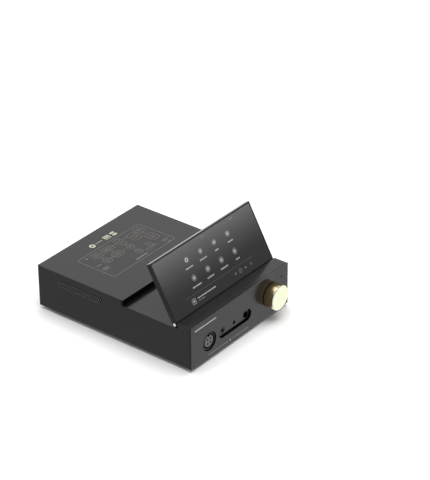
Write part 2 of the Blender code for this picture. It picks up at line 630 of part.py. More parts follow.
def make_power_switch(datum):
    bezel = box("switch_bezel", around(SWITCH_X, 8.0), (REAR_FLANGE_Y, REAR_FLANGE_Y + 1.4),
                around(REAR_MID_Z, 12.0), datum, "black_plastic")
    join(bezel, box("switch_body", around(SWITCH_X, 6.6), (101.0, REAR_FLANGE_Y + 0.5),
                    around(REAR_MID_Z, 10.6), datum))
    cut(bezel, box("switch_cavity", around(SWITCH_X, 5.6), (107.0, REAR_Y + 5), around(REAR_MID_Z, 9.5),
                   datum))
    axis = make_empty("rocker_axis", (SWITCH_X, ROCKER_AXIS_Y, REAR_MID_Z), datum,
                      Matrix.Rotation(math.radians(-ROCKER_TILT), 4, "X"))
    outline = [(-3.6, -4.0), (3.0, -8.3), (6.6, -8.3), (5.2, 0.0), (6.6, 8.3), (3.0, 8.3), (-3.6, 4.0)]
    prism("power_rocker", outline, "X", around(0, 5.2), axis, "black_plastic")


def make_xlr_outputs(datum):
    floor_y = 104.0
    for side, x in XLR_OUT_X.items():
        name = "xlr_output_" + side
        output = box(name, around(x, 13.0), (REAR_FLANGE_Y, REAR_FLANGE_Y + 1.6), around(REAR_MID_Z, 15.5),
                     datum, "black_plastic")
        join(output, cylinders(name + "_body", [(x, 0, REAR_MID_Z)], "Y", XLR_OUT_BODY_RADIUS,
                               (99.0, REAR_FLANGE_Y + 0.5), datum, sides=28))
        cut(output, cylinders(name + "_well", [(x, 0, REAR_MID_Z)], "Y", 9.6, (floor_y, REAR_Y + 5),
                              datum, sides=28))
        pins = [(x + dx, 0, z) for dx, z in arc((0, REAR_MID_Z), 5.0, 90, 330, 2)]
        join(output, cylinders(name + "_pins", pins, "Y", 1.2, (floor_y - 1, 116.5), datum, sides=10))


def make_phono_sockets(datum):
    end = REAR_Y + REAR_PROTRUSION - REAR_PANEL_Y[1]
    profile = [(0, end - 8.0), (1.6, end - 8.0), (1.6, end), (4.1, end), (4.1, 2.0), (6.0, 2.0),
               (6.0, GAP), (4.1, GAP), (4.1, -12.0), (0, -12.0)]
    for name, (x, z) in PHONO_XZ.items():
        turned(name, profile, (x, REAR_PANEL_Y[1], z), "Y", datum, "gold_plate", sides=14)


def make_data_sockets(datum):
    end = REAR_PANEL_Y[1] + 0.6
    network = box("ethernet_socket", around(ETHERNET_X, 8.0), (98.0, end), around(REAR_LOW_Z, 6.9),
                  datum, "plated_metal")
    cut(network, box("ethernet_cavity", around(ETHERNET_X, 5.9), (104.0, end + 5),
                     around(REAR_LOW_Z, 4.2), datum))
    usb = box("usb_socket", around(USB_X, 6.0), (101.0, end), around(REAR_LOW_Z, 5.5), datum,
              "plated_metal")
    cut(usb, box("usb_cavity", around(USB_X, 4.3), (108.0, end + 5), around(REAR_LOW_Z, 3.9), datum))
    join(usb, box("usb_tongue", around(USB_X, 2.8), (107.0, end - 2), around(REAR_LOW_Z, 1.6), datum))


# ------------------------------------------------------------------ inside

def make_boards(datum):
    for name, x in (("main_board", MAIN_BOARD_X), ("power_board", POWER_BOARD_X)):
        box(name, x, BOARD_Y, BOARD_Z, datum, "circuit_board")
    sink = box("amplifier_heatsink", (38.0, 80.0), (-46.0, -12.0), (PART_Z, 40.0), datum, "steel_sheet")
    for i in range(5):
        cut(sink, box(f"fin_gap_{i}", around(45.0 + 7 * i, 1.8), (-50.0, -8.0), (15.0, 45.0), datum))
    box("streaming_module", (-22.0, 18.0), (-30.0, 8.0), (PART_Z, 13.5), datum, "steel_sheet", 0.6)
    box("converter_shield", (0.0, 44.0), (34.0, 72.0), (PART_Z, 15.5), datum, "steel_sheet", 0.6)


def make_power_parts(datum):
    coil = [(6.0, 26.0), (9.0, 28.0), (18.0, 28.0), (22.0, 24.0), (22.0, 4.0), (18.0, 0), (9.0, 0),
            (6.0, 2.0), (6.0, 26.0)]
    turned("mains_transformer", coil, (-61.0, -20.0, PART_Z), "Z", datum, "capacitor_sleeve", sides=20)
    can = [(0, 30.0), (7.6, 30.0), (8.2, 29.4), (8.2, 0), (0, 0)]
    for i, (x, y) in enumerate(((-72.0, 28.0), (-50.0, 28.0), (-72.0, 50.0), (-50.0, 50.0))):
        turned(f"reservoir_capacitor_{i + 1}", can, (x, y, PART_Z), "Z", datum, "capacitor_sleeve", sides=14)


def make_screen_cable(datum):
    """Flat cable from the main board up to the slot under the hinge."""
    half = 0.2
    centre = [(-58.0, 11.0), (-70.0, 11.0)]
    centre += list(arc((-70.0, 15.0), 4.0, 270, 180, 4))[1:]
    centre += list(arc((-78.0, 36.0), 4.0, 0, 90, 4))
    centre += list(arc((-87.6, 44.0), 4.0, 270, 180, 4))
    centre += [(-91.6, 49.0)]
    left, right = [], []
    for i, point in enumerate(centre):
        before, after = Vector(centre[max(i - 1, 0)]), Vector(centre[min(i + 1, len(centre) - 1)])
        side = (after - before).normalized().orthogonal() * half
        left.append(tuple(Vector(point) + side))
        right.append(tuple(Vector(point) - side))
    prism("screen_cable", left + right[::-1], "X", around(0, 7.0), datum, "capacitor_sleeve")


def main():
    datum = make_empty("body_datum", (0, BODY_CENTRE_Y, FOOT_CLEARANCE))
    make_main_housing(datum)
    make_front_panel(datum)
    make_lights(datum)
    make_bottom_plate(datum)
    make_feet(datum)
    make_radio_window(datum)
    make_hinge_brackets(datum)
    make_screen(datum)
    make_front_sockets(datum)
    make_volume_control(datum)
    make_rear_panel(datum)
    make_power_inlet(datum)
    make_power_switch(datum)
    make_xlr_outputs(datum)
    make_phono_sockets(datum)
    make_data_sockets(datum)
    make_boards(datum)
    make_power_parts(datum)
    make_screen_cable(datum)


main()
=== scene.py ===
"""The looks of a desktop converter and headphone amplifier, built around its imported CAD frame.

Sizes are millimetres in the frame's coordinates: +X to the right along the front, +Y to the back, +Z up.
The screen's pieces are drawn flat, as (across, up the glass, out of the glass) from the hinge, then tilted.
"""
import json
import math
import random

import bmesh
import bpy
from mathutils import Matrix, Vector


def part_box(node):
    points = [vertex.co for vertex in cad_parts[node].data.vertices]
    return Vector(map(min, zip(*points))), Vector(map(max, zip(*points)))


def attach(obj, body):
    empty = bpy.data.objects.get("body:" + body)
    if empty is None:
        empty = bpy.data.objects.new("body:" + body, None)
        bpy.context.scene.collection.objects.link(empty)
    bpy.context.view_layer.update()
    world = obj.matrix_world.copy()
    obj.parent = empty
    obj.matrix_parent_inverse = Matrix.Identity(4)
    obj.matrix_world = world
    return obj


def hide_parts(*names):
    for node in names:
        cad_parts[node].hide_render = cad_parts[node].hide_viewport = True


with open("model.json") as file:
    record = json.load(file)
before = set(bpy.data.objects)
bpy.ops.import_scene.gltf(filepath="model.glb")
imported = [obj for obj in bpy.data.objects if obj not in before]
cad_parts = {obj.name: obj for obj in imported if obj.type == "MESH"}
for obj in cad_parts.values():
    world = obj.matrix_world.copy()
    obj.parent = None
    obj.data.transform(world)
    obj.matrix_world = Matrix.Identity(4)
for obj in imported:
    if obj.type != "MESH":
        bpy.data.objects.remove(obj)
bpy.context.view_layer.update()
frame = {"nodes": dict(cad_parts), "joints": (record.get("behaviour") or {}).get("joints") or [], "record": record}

MM = 0.001
X, Y, Z = 0, 1, 2
scene = bpy.context.scene
rng = random.Random(7)

SIDES = ("left", "right")

# Case
EDGE_BREAK = 0.25
CUT_BREAK = 0.12
FIT_GAP = 0.3
WALL = 3.0
RECESS_MARGIN = 4.3
FLOOR_THICKNESS = 2.5
STEP_WALL = 2.0
CABLE_SLOT_WIDTH = 16.0
CABLE_SLOT_BEHIND_HINGE = (1.6, 3.6)
KNUCKLE_HALF_DEPTH = 1.95
POST_HALF_SIZE = (4.4, 4.0)
POST_RISE = (2.5, 24.0)

# Jack recess in the front, from the middles of its outer jacks
JACK_RECESS_ENDS = (10.4, 8.1)
JACK_RECESS_HALF_HEIGHT = 7.8

# Screen
GLASS_RIM = 0.7
GLASS_LOWER_GAP = 0.08
PIN_SEAT_RADIUS = 2.25
PIN_HEAD_GROWTH = 0.4

# Vents
VENT_ROWS = (19, 20, 19)
VENT_PITCH = 3.6
VENT_RADIUS = 1.3
VENT_FLARE = 0.36
VENT_FROM_CENTRE_Y = 51.5
VENT_HEIGHT = 43.0

# Knob
KNOB_CHAMFER = 0.5
KNOB_BAND = 2.6
KNOB_GROOVE_PITCH = 2.3
KNOB_GROOVE_WIDTH = 0.8
KNOB_GROOVE_DEPTH = 0.45
KNOB_REAR_GROWTH = 0.35
TURNING_RINGS_PER_METRE = 4200.0

# Printed marks stand this far out of the surface that they are on
INK_HEIGHT = 0.03

# Camera and light, in degrees and millimetres, and in metres for the lamps
CAMERA_AZIMUTH, CAMERA_ELEVATION, CAMERA_ROLL = -51.675, 30.248, -0.456
CAMERA_DISTANCE = 2525.7
CAMERA_ASIDE, CAMERA_ABOVE = 62.74, 77.53
CAMERA_LENS = 154.8
BRIGHT_SKY_DIRECTION = (0.8, 0.45, -0.45)
SKY_BLEND = (0.22, 0.58)
SKY_DARK, SKY_BRIGHT = 0.5, 1.09
FLOOR_REACH, FLOOR_DEPTH = 9000.0, 4.0
LAMP_PLACE, LAMP_SIZE, LAMP_POWER = (0.1, -0.25, 2.2), (2.1, 2.1), 70.0
CARD_DISTANCE, CARD_HEIGHT, CARD_POWER_PER_WIDTH = 1.5, 0.25, 2.2
CARDS = (("card_above", (0.05, 0.54, 0.84), 0.9), ("card_left", (-0.78, 0.54, 0.33), 0.5))


# ---------------------------------------------------------------- places taken from the frame

def corners_of(points):
    """The low and the high corner of the box around some points."""
    return [Vector([pick(part) for part in zip(*points)]) for pick in (min, max)]


class Box:
    """The box around some CAD nodes, in millimetres, with its spans and the middles of three sides."""

    def __init__(self, *nodes):
        self.low, self.high = corners_of([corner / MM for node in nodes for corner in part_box(node)])
        self.x, self.y, self.z = zip(self.low, self.high)
        self.size = self.high - self.low
        self.centre = (self.low + self.high) / 2
        self.front = Vector((self.centre.x, self.low.y, self.centre.z))
        self.rear = Vector((self.centre.x, self.high.y, self.centre.z))
        self.bottom = Vector((self.centre.x, self.centre.y, self.low.z))


def levels(node, axis):
    """The different coordinates that a CAD node's corners have along an axis."""
    return sorted({round(vertex.co[axis] / MM, 2) for vertex in frame["nodes"][node].data.vertices})


def joint(name):
    return next(item for item in frame["joints"] if item["name"] == name)


CASE = Box("main_housing", "front_panel")
PANEL = Box("front_panel")
HOUSING = Box("main_housing")
BASE_Z, DECK_Z = CASE.low.z, CASE.high.z
WINDOW_FRONT_Y, STEP_Y, WINDOW_BACK_Y = levels("radio_window", Y)
SEAT_Z, FLOOR_Z, WINDOW_TOP_Z = levels("radio_window", Z)
HINGE = Vector(joint("screen_tilt")["pos_m"]) / MM
SCREEN_TILT = -joint("screen_tilt")["range_deg"][0]
SCREEN_PLACE = Matrix.Translation(HINGE) @ Matrix.Rotation(math.radians(SCREEN_TILT), 4, "X")
KNOB_AXIS = Vector(joint("volume_turn")["pos_m"]) / MM
RECESS_FRONT_Y = HINGE.y - RECESS_MARGIN


# ---------------------------------------------------------------- materials

def add_node(tree, kind, *inputs, **settings):
    """Add a node; an input is a socket to link, a value to set, or None to leave."""
    made = tree.nodes.new(kind)
    for setting, value in settings.items():
        setattr(made, setting, value)
    for socket, value in zip(made.inputs, inputs):
        if isinstance(value, bpy.types.NodeSocket):
            tree.links.new(value, socket)
        elif value is not None:
            socket.default_value = value
    return made


class Paint:
    """One Principled material, with short ways to add the nodes that vary it."""

    def __init__(self, name, colour, roughness, metallic=0.0, **values):
        self.material = bpy.data.materials.new(name)
        self.material.use_nodes = True
        self.tree = self.material.node_tree
        self.shader = self.tree.nodes["Principled BSDF"]
        self.colour, self.roughness = colour, roughness
        self.shader.inputs["Base Color"].default_value = (*colour, 1.0)
        self.shader.inputs["Roughness"].default_value = roughness
        self.shader.inputs["Metallic"].default_value = metallic
        for socket, value in values.items():
            self.shader.inputs[socket.replace("_", " ")].default_value = value
        self.place = self.tree.nodes.new("ShaderNodeTexCoord").outputs["Object"]

    def node(self, kind, *inputs, **settings):
        return add_node(self.tree, kind, *inputs, **settings)

    def noise(self, size, detail=2.0, stretch=(1, 1, 1)):
        """Noise whose grains are about this many millimetres across."""
        scale = [1 / (size * MM * part) for part in stretch]
        moved = self.vector("MULTIPLY", self.place, scale).outputs[0]
        return self.node("ShaderNodeTexNoise", moved, None, 1.0, detail).outputs["Fac"]

    def math(self, operation, *inputs):
        return self.node("ShaderNodeMath", *inputs, operation=operation).outputs[0]

    def vector(self, operation, *inputs):
        return self.node("ShaderNodeVectorMath", *inputs, operation=operation)

    def span(self, value, low, high, start=0.3, stop=0.7):
        """Map a value that runs from start to stop onto low to high."""
        return self.node("ShaderNodeMapRange", value, start, stop, low, high).outputs["Result"]

    def tint(self, value, dark, light):
        """Colour between two tones by a value from 0 to 1; the dark tone may be a socket."""
        tones = [tone if isinstance(tone, bpy.types.NodeSocket) else (*tone, 1.0) for tone in (dark, light)]
        not_for_colours = (None,) * 5
        return self.node("ShaderNodeMix", value, *not_for_colours, *tones, data_type="RGBA").outputs[2]

    def shade(self, value, spread):
        """Vary the base colour by a share of itself, darker to lighter."""
        dark = [part * (1 - spread) for part in self.colour]
        light = [min(part * (1 + spread), 1.0) for part in self.colour]
        self.link(self.tint(value, dark, light), "Base Color")

    def wear(self, value, spread):
        """Vary the roughness up and down by an amount."""
        self.link(self.span(value, self.roughness - spread, self.roughness + spread), "Roughness")

    def bump(self, height, depth, strength=1.0):
        """Relief of a depth in millimetres."""
        made = self.node("ShaderNodeBump")
        made.inputs["Strength"].default_value = strength
        made.inputs["Distance"].default_value = depth * MM
        self.tree.links.new(height, made.inputs["Height"])
        self.link(made.outputs["Normal"], "Normal")

    def link(self, socket, name):
        self.tree.links.new(socket, self.shader.inputs[name])


def anodised(name, colour, roughness, ior=1.5):
    """Fine bead blasted anodising: an even grain, and faint clouds from handling."""
    paint = Paint(name, colour, roughness, IOR=ior)
    grain, cloud = paint.noise(0.32, 3.0), paint.noise(38.0, 3.0)
    paint.shade(paint.span(paint.noise(0.6, 2.0), 0.0, 1.0), 0.2)
    mixed = paint.math("ADD", paint.math("MULTIPLY", cloud, 0.7), paint.math("MULTIPLY", grain, 0.3))
    paint.wear(mixed, 0.05)
    paint.bump(grain, 0.012, 0.6)
    return paint.material


def highlight_paint(name, colour, roughness, metallic=0.8):
    """Pale colour with a fine line grain for edges, rims and ends: a painted highlight, and on the hinge pins'
    ends a painted reflection.
    """
    paint = Paint(name, colour, roughness, metallic)
    line = paint.noise(0.5, 2.0, (8, 1, 1))
    paint.shade(line, 0.2)
    paint.wear(line, 0.06)
    return paint.material


def turned_brass(name, colour, roughness, relief):
    """Pale gold with fine turning rings about the knob's axis."""
    paint = Paint(name, colour, roughness, 1.0)
    centred = paint.vector("SUBTRACT", paint.place, KNOB_AXIS * MM).outputs[0]
    flat = paint.vector("MULTIPLY", centred, (1.0, 0.0, 1.0)).outputs[0]
    radius = paint.vector("LENGTH", flat).outputs["Value"]
    along = paint.node("ShaderNodeSeparateXYZ", centred).outputs["Y"]
    lines = paint.math("MULTIPLY", paint.math("ADD", radius, along), TURNING_RINGS_PER_METRE)
    rings = paint.node("ShaderNodeTexNoise", None, lines, 1.0, 3.0, noise_dimensions="1D").outputs["Fac"]
    paint.shade(paint.span(rings, 0.0, 1.0), 0.06)
    paint.wear(paint.noise(9.0, 3.0), 0.02)
    paint.bump(rings, relief, 0.3)
    return paint.material


def display_glass(name):
    """Gloss cover glass over a dim base colour that grows lighter towards the top of the screen."""
    paint = Paint(name, (0.02, 0.02, 0.021), 0.07, IOR=1.42)
    glass = Box("screen_glass")
    height = paint.node("ShaderNodeSeparateXYZ", paint.place).outputs["Z"]
    up = paint.math("DIVIDE", paint.math("SUBTRACT", height, glass.low.z * MM), glass.size.z * MM)
    drift = paint.math("ADD", up, paint.math("MULTIPLY", paint.noise(60.0, 1.0), 0.04))
    curve = paint.math("POWER", paint.span(drift, 0.0, 1.0, 0.32, 1.02), 1.5)
    paint.link(paint.tint(curve, (0.0165, 0.0165, 0.0168), (0.103, 0.103, 0.1045)), "Base Color")
    paint.wear(paint.noise(24.0, 4.0), 0.02)
    return paint.material


def moulded(name, colour, roughness, grain_size=0.5, relief=0.015, **values):
    """Moulded plastic or rubber with a fine spark-eroded texture; the same recipe also gives the near-black
    painted shade of cut walls and the darker plastic in sunken sockets.
    """
    paint = Paint(name, colour, roughness, **values)
    grain = paint.noise(grain_size, 3.0)
    paint.shade(paint.noise(18.0, 3.0), 0.18)
    paint.wear(grain, 0.07)
    paint.bump(grain, relief, 0.7)
    return paint.material


def plated(name, colour, roughness, stretch=(1, 1, 1)):
    """Plated metal with fine tooling marks and a little tarnish."""
    paint = Paint(name, colour, roughness, 1.0)
    marks = paint.noise(0.35, 2.0, stretch)
    paint.shade(paint.noise(6.0, 3.0), 0.08)
    paint.wear(marks, 0.06)
    paint.bump(marks, 0.004, 0.4)
    return paint.material


def coated_sheet(name, colour, roughness):
    """Sheet steel under a thin coat with a slight orange peel."""
    paint = Paint(name, colour, roughness, 0.3)
    peel = paint.noise(1.1, 2.0)
    paint.shade(paint.noise(30.0, 3.0), 0.12)
    paint.wear(peel, 0.06)
    paint.bump(peel, 0.03, 0.5)
    return paint.material


def solder_mask(name):
    """Circuit board: dark green mask with lighter copper runs under it and tinned pads."""
    paint = Paint(name, (0.015, 0.07, 0.045), 0.35)
    runs = paint.node("ShaderNodeTexBrick", paint.place)
    runs.inputs["Scale"].default_value = 120.0
    runs.inputs["Mortar Size"].default_value = 0.06
    pads = paint.node("ShaderNodeTexVoronoi", paint.place)
    pads.inputs["Scale"].default_value = 260.0
    dots = paint.math("LESS_THAN", pads.outputs["Distance"], 0.16)
    mask = paint.tint(runs.outputs["Fac"], (0.012, 0.055, 0.035), (0.035, 0.14, 0.08))
    paint.link(paint.tint(dots, mask, (0.55, 0.53, 0.48)), "Base Color")
    paint.bump(runs.outputs["Fac"], 0.03, 0.6)
    return paint.material


def printed(name, colour, roughness=0.45):
    """Screen-printed ink: slightly uneven in cover."""
    paint = Paint(name, colour, roughness)
    paint.shade(paint.noise(0.8, 3.0), 0.2)
    paint.wear(paint.noise(0.5, 2.0), 0.05)
    return paint.material


def studio_floor(name):
    """Pale paper sweep, all but even."""
    paint = Paint(name, (0.76, 0.76, 0.76), 0.6)
    paint.shade(paint.noise(120.0, 3.0), 0.01)
    paint.wear(paint.noise(40.0, 2.0), 0.03)
    return paint.material


BLACK_ALUMINIUM = anodised("black_aluminium", (0.0065, 0.0065, 0.0067), 0.19)
PANEL_ALUMINIUM = anodised("panel_aluminium", (0.007, 0.007, 0.0072), 0.2, 1.46)
SCREEN_ALUMINIUM = anodised("screen_aluminium", (0.0075, 0.0075, 0.0078), 0.3, 1.43)
# Pale bevels on chosen edges of the case: painted highlight.
EDGE_HIGHLIGHT = highlight_paint("edge_painted_highlight", (0.10, 0.10, 0.103), 0.34)
# Lighter than the screen's shell: painted light on the front of its round lower edge and on the walls round the
# glass.
BARREL_PAINTED_LIGHT = anodised("screen_barrel_painted_light", (0.03, 0.03, 0.0305), 0.4)
# Pale rims of the vent holes: painted highlight.
VENT_RIM_HIGHLIGHT = highlight_paint("vent_rim_painted_highlight", (0.34, 0.34, 0.345), 0.4)
# Pale top edges of the front and of the screen: painted highlight.
TOP_EDGE_HIGHLIGHT = highlight_paint("top_edge_painted_highlight", (0.30, 0.30, 0.305), 0.34)
# Pale, barely metallic hinge-pin ends that stand in for a bright reflection: painted reflection.
PIN_END_REFLECTION = highlight_paint("pin_end_painted_reflection", (0.86, 0.86, 0.87), 0.3, 0.2)
# Near-black, hardly reflecting walls left by the cutting tools: painted shade in holes, slots and recesses.
CUT_SHADE = moulded("cut_wall_painted_shade", (0.001, 0.001, 0.001), 0.8, Specular_IOR_Level=0.05)
KNOB_FACE = turned_brass("polished_brass", (0.90, 0.905, 0.675), 0.09, 0.002)
KNOB_SIDE = turned_brass("turned_brass", (0.80, 0.64, 0.35), 0.26, 0.004)
# Darker brass for the knob's grooves: painted shade in the hollows.
GROOVE_SHADE_BRASS = turned_brass("groove_brass_painted_shade", (0.50, 0.41, 0.22), 0.4, 0.004)
GLASS = display_glass("screen_glass")
BLACK_PLASTIC = moulded("black_plastic", (0.010, 0.010, 0.0105), 0.42)
# A darker, less reflecting copy of the black plastic for the sunken XLR shell and the jacks: painted shade in
# these openings.
SHADED_PLASTIC = moulded("black_plastic_painted_shade", (0.003, 0.003, 0.0032), 0.5, Specular_IOR_Level=0.25)
GREY_PLASTIC = moulded("grey_plastic", (0.10, 0.10, 0.10), 0.45)
WINDOW_PLASTIC = moulded("window_plastic", (0.002, 0.002, 0.0022), 0.5, 0.4, 0.01, Specular_IOR_Level=0.2)
RUBBER = moulded("dark_rubber", (0.022, 0.022, 0.022), 0.78, 0.8, 0.04)
NICKEL = plated("plated_metal", (0.80, 0.80, 0.81), 0.14)
GOLD = plated("gold_plate", (0.86, 0.63, 0.24), 0.2)
# Gold darkened for the ring deep in the balanced jack: painted shade.
SHADED_GOLD = plated("gold_painted_shade", (0.30, 0.28, 0.22), 0.45)
STEEL = coated_sheet("steel_sheet", (0.07, 0.07, 0.073), 0.42)
TIN = plated("bare_metal", (0.5, 0.5, 0.51), 0.3, (6, 1, 1))
BOARD = solder_mask("circuit_board")
SLEEVE = moulded("capacitor_sleeve", (0.02, 0.02, 0.05), 0.3, 1.2, 0.02)
SMOKED = moulded("clear_window", (0.008, 0.006, 0.006), 0.12, 0.3, 0.002)
PALE_GOLD_INK = printed("pale_gold_ink", (0.36, 0.36, 0.265))
GREY_GOLD_INK = printed("grey_gold_ink", (0.2, 0.2, 0.165))
BRONZE_INK = printed("bronze_ink", (0.135, 0.13, 0.112))
RED_BROWN_INK = printed("red_brown_ink", (0.15, 0.105, 0.095))
SILVER_INK = printed("silver_ink", (0.62, 0.60, 0.54))
FAINT_INK = printed("faint_ink", (0.24, 0.24, 0.235))
PIXEL_BRIGHT = printed("pixels_bright", (0.36, 0.36, 0.36), 0.12)
PIXEL_MIDDLE = printed("pixels_middle", (0.17, 0.17, 0.17), 0.12)
PIXEL_FAINT = printed("pixels_faint", (0.085, 0.085, 0.085), 0.12)
# Near-black band round the glass's top and sides: painted shade for the gap between glass and shell.
GLASS_EDGE_SHADE = printed("glass_edge_painted_shade", (0.0015, 0.0015, 0.0015), 0.12)
FLOOR = studio_floor("studio_floor")

SLOT_MATERIALS = {
    "black_aluminium": BLACK_ALUMINIUM, "screen_aluminium": SCREEN_ALUMINIUM,
    "polished_brass": KNOB_FACE, "screen_glass": GLASS, "black_plastic": BLACK_PLASTIC,
    "dark_rubber": RUBBER, "plated_metal": NICKEL, "gold_plate": GOLD, "steel_sheet": STEEL,
    "circuit_board": BOARD, "capacitor_sleeve": SLEEVE, "clear_window": SMOKED,
}
SLOT_OF = {part["node"]: part["material_slot"] for part in frame["record"]["subparts"]}
BODY_OF = {node: body for body, nodes in frame["record"]["behaviour"]["bodies"].items() for node in nodes}


# ---------------------------------------------------------------- mesh helpers

QUARTER_TURN = math.radians(90)
AXIS_TURN = {
    "X": Matrix.Rotation(QUARTER_TURN, 4, "Y"), "-X": Matrix.Rotation(-QUARTER_TURN, 4, "Y"),
    "Y": Matrix.Rotation(-QUARTER_TURN, 4, "X"), "-Y": Matrix.Rotation(QUARTER_TURN, 4, "X"),
    "Z": Matrix.Identity(4),
}


def around(centre, half):
    return centre - half, centre + half


def rectangle(u, v):
    return [(u[0], v[0]), (u[1], v[0]), (u[1], v[1]), (u[0], v[1])]


def arc(centre, radius, start, stop, steps):
    """Points on an arc, angles in degrees."""
    for step in range(steps + 1):
        angle = math.radians(start + (stop - start) * step / steps)
        yield centre[0] + radius * math.cos(angle), centre[1] + radius * math.sin(angle)


def circle(centre, radius, sides=32):
    return list(arc(centre, radius, 0, 360 * (sides - 1) / sides, sides - 1))


def rounded(u, v, radius, steps=8):
    """A rectangle with round corners; with radius half its height it is a stadium."""
    points = []
    for corner, (cu, cv) in enumerate(((u[1], v[1]), (u[0], v[1]), (u[0], v[0]), (u[1], v[0]))):
        centre = (cu - math.copysign(radius, cu - sum(u) / 2), cv - math.copysign(radius, cv - sum(v) / 2))
        points += arc(centre, radius, 90 * corner, 90 * corner + 90, steps)
    return points


def along_axis(axis, u, v, w):
    """An outline's (u, v) is (y, z) along X, (x, z) along Y and (x, y) along Z."""
    return {"X": (w, u, v), "Y": (u, w, v), "Z": (u, v, w)}[axis]


def place_outline(bm, outline, axis, w):
    return [bm.verts.new(along_axis(axis, u, v, w)) for u, v in outline]


def skin(bm, lower, upper, material=0):
    """Faces between two rings of vertices; a ring may be one vertex, repeated."""
    for i in range(len(lower)):
        j = (i + 1) % len(lower)
        corners = list(dict.fromkeys((lower[i], lower[j], upper[j], upper[i])))
        if len(corners) > 2:
            bm.faces.new(corners).material_index = material


def loft(bm, axis, outlines, break_rings=()):
    """Join outlines of equal length, each at its place along an axis, and cap the ends."""
    rings = [place_outline(bm, outline, axis, w) for outline, w in outlines]
    bm.faces.new(rings[0])
    bm.faces.new(rings[-1][::-1])
    for index, (lower, upper) in enumerate(zip(rings, rings[1:])):
        skin(bm, lower, upper, 1 if index in break_rings else 0)
    return bm


def prism(outline, axis, span):
    return loft(bmesh.new(), axis, [(outline, place) for place in span])


def frame_prism(bm, outer, inner, axis, span):
    """A flat ring between two outlines with the same number of points."""
    turns = ((outer, span[0]), (inner, span[0]), (inner, span[1]), (outer, span[1]))
    rings = [place_outline(bm, outline, axis, w) for outline, w in turns]
    for lower, upper in zip(rings, rings[1:] + rings[:1]):
        skin(bm, lower, upper)


def lathe(profile, centre, axis="Z", sides=64, bm=None):
    """Turn an outline of (radius, height) points about an axis; a closed outline makes a ring."""
    bm = bm or bmesh.new()
    place = Matrix.Translation(Vector(centre)) @ AXIS_TURN[axis]
    closed = profile[0] == profile[-1] and profile[0][0] > 0
    rings = []
    for radius, height in profile[:-1] if closed else profile:
        if radius == 0:
            rings.append([bm.verts.new(place @ Vector((0, 0, height)))] * sides)
        else:
            points = circle((0, 0), radius, sides)
            rings.append([bm.verts.new(place @ Vector((u, v, height))) for u, v in points])
    if closed:
        rings.append(rings[0])
    for lower, upper in zip(rings, rings[1:]):
        skin(bm, lower, upper)
    return bm


def block(x, y, z, bm=None):
    bm = bm or bmesh.new()
    low, high = (Vector(corner) for corner in zip(x, y, z))
    made = bmesh.ops.create_cube(bm, size=1.0)["verts"]
    bmesh.ops.scale(bm, vec=high - low, verts=made)
    bmesh.ops.translate(bm, vec=(low + high) / 2, verts=made)
    return bm


def break_edges(bm, width, segments=3, where=None, material=-1):
    """Round off the sharp outward edges; where picks among them, and material marks the new faces."""
    bmesh.ops.recalc_face_normals(bm, faces=bm.faces)
    bm.normal_update()
    sharp = math.radians(30)
    edges = [edge for edge in bm.edges if edge.is_manifold and edge.is_convex
             and edge.calc_face_angle(0) > sharp and (where is None or where(edge))]
    bmesh.ops.bevel(bm, geom=edges, offset=width, segments=segments, profile=0.5, affect="EDGES",
                    clamp_overlap=True, material=material)
    return bm


def mark(bm, index, test):
    """Give the faces that pass a test another of the piece's materials."""
    bm.normal_update()
    for face in bm.faces:
        if test(face.calc_center_median(), face.normal):
            face.material_index = index


def solid(name, bm, *materials, place=None):
    """A mesh in millimetres becomes an object in metres."""
    bmesh.ops.recalc_face_normals(bm, faces=bm.faces)
    if place is not None:
        bm.transform(place)
    bmesh.ops.scale(bm, vec=(MM, MM, MM), verts=bm.verts)
    mesh = bpy.data.meshes.new(name)
    bm.to_mesh(mesh)
    bm.free()
    for material in materials:
        mesh.materials.append(material)
    obj = bpy.data.objects.new(name, mesh)
    scene.collection.objects.link(obj)
    return obj


# Every cut wall takes the tool's material, near-black and hardly reflecting by default: painted shade in holes,
# slots and recesses.
def tool(bm, *materials, place=None):
    return solid("tool", bm, *(materials or (CUT_SHADE,)), place=place)


def boolean(target, operation, *tools):
    for item in tools:
        change = target.modifiers.new("change", "BOOLEAN")
        change.operation = operation
        change.solver = "EXACT"
        change.material_mode = "TRANSFER"
        change.object = item
    made = bpy.data.meshes.new_from_object(target.evaluated_get(bpy.context.evaluated_depsgraph_get()))
    target.modifiers.clear()
    target.data = made
    for item in tools:
        bpy.data.objects.remove(item)
    return target


def cut(target, *tools):
    return boolean(target, "DIFFERENCE", *tools)


def join(target, *tools):
    return boolean(target, "UNION", *tools)


def finish(obj, *nodes, body=None, slot=None, angle=32):
    """Shade a piece, fasten it to its body and let it stand for its CAD nodes."""
    obj.data.name = obj.name
    obj.data.shade_smooth()
    obj.data.set_sharp_from_angle(angle=math.radians(angle))
    normals = obj.modifiers.new("normals", "WEIGHTED_NORMAL")
    normals.keep_sharp = True
    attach(obj, body or BODY_OF[nodes[0]])
    slot or SLOT_OF[nodes[0]]
    if nodes:
        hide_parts(*nodes)


def stand_in(node, bm, *materials):
    """A finished piece that stands for one CAD node."""
    finish(solid(node + "_finish", bm, *materials), node)


def add_extra(name, bm, material, slot, body="case", place=None):
    """A finished piece that stands for no CAD node."""
    finish(solid(name, bm, material, place=place), body=body, slot=slot)


def refine(node, width, segments=2):
    """A CAD node's own shape with its sharp edges broken stands for the node."""
    bm = bmesh.new()
    bm.from_mesh(frame["nodes"][node].data)
    bmesh.ops.scale(bm, vec=(1 / MM,) * 3, verts=bm.verts)
    bmesh.ops.remove_doubles(bm, verts=bm.verts, dist=0.002)
    bmesh.ops.dissolve_limit(bm, angle_limit=math.radians(1), verts=bm.verts, edges=bm.edges)
    for face in bm.faces:
        face.material_index = 0
    break_edges(bm, width, segments)
    stand_in(node, bm, SLOT_MATERIALS[SLOT_OF[node]])


# ---------------------------------------------------------------- case

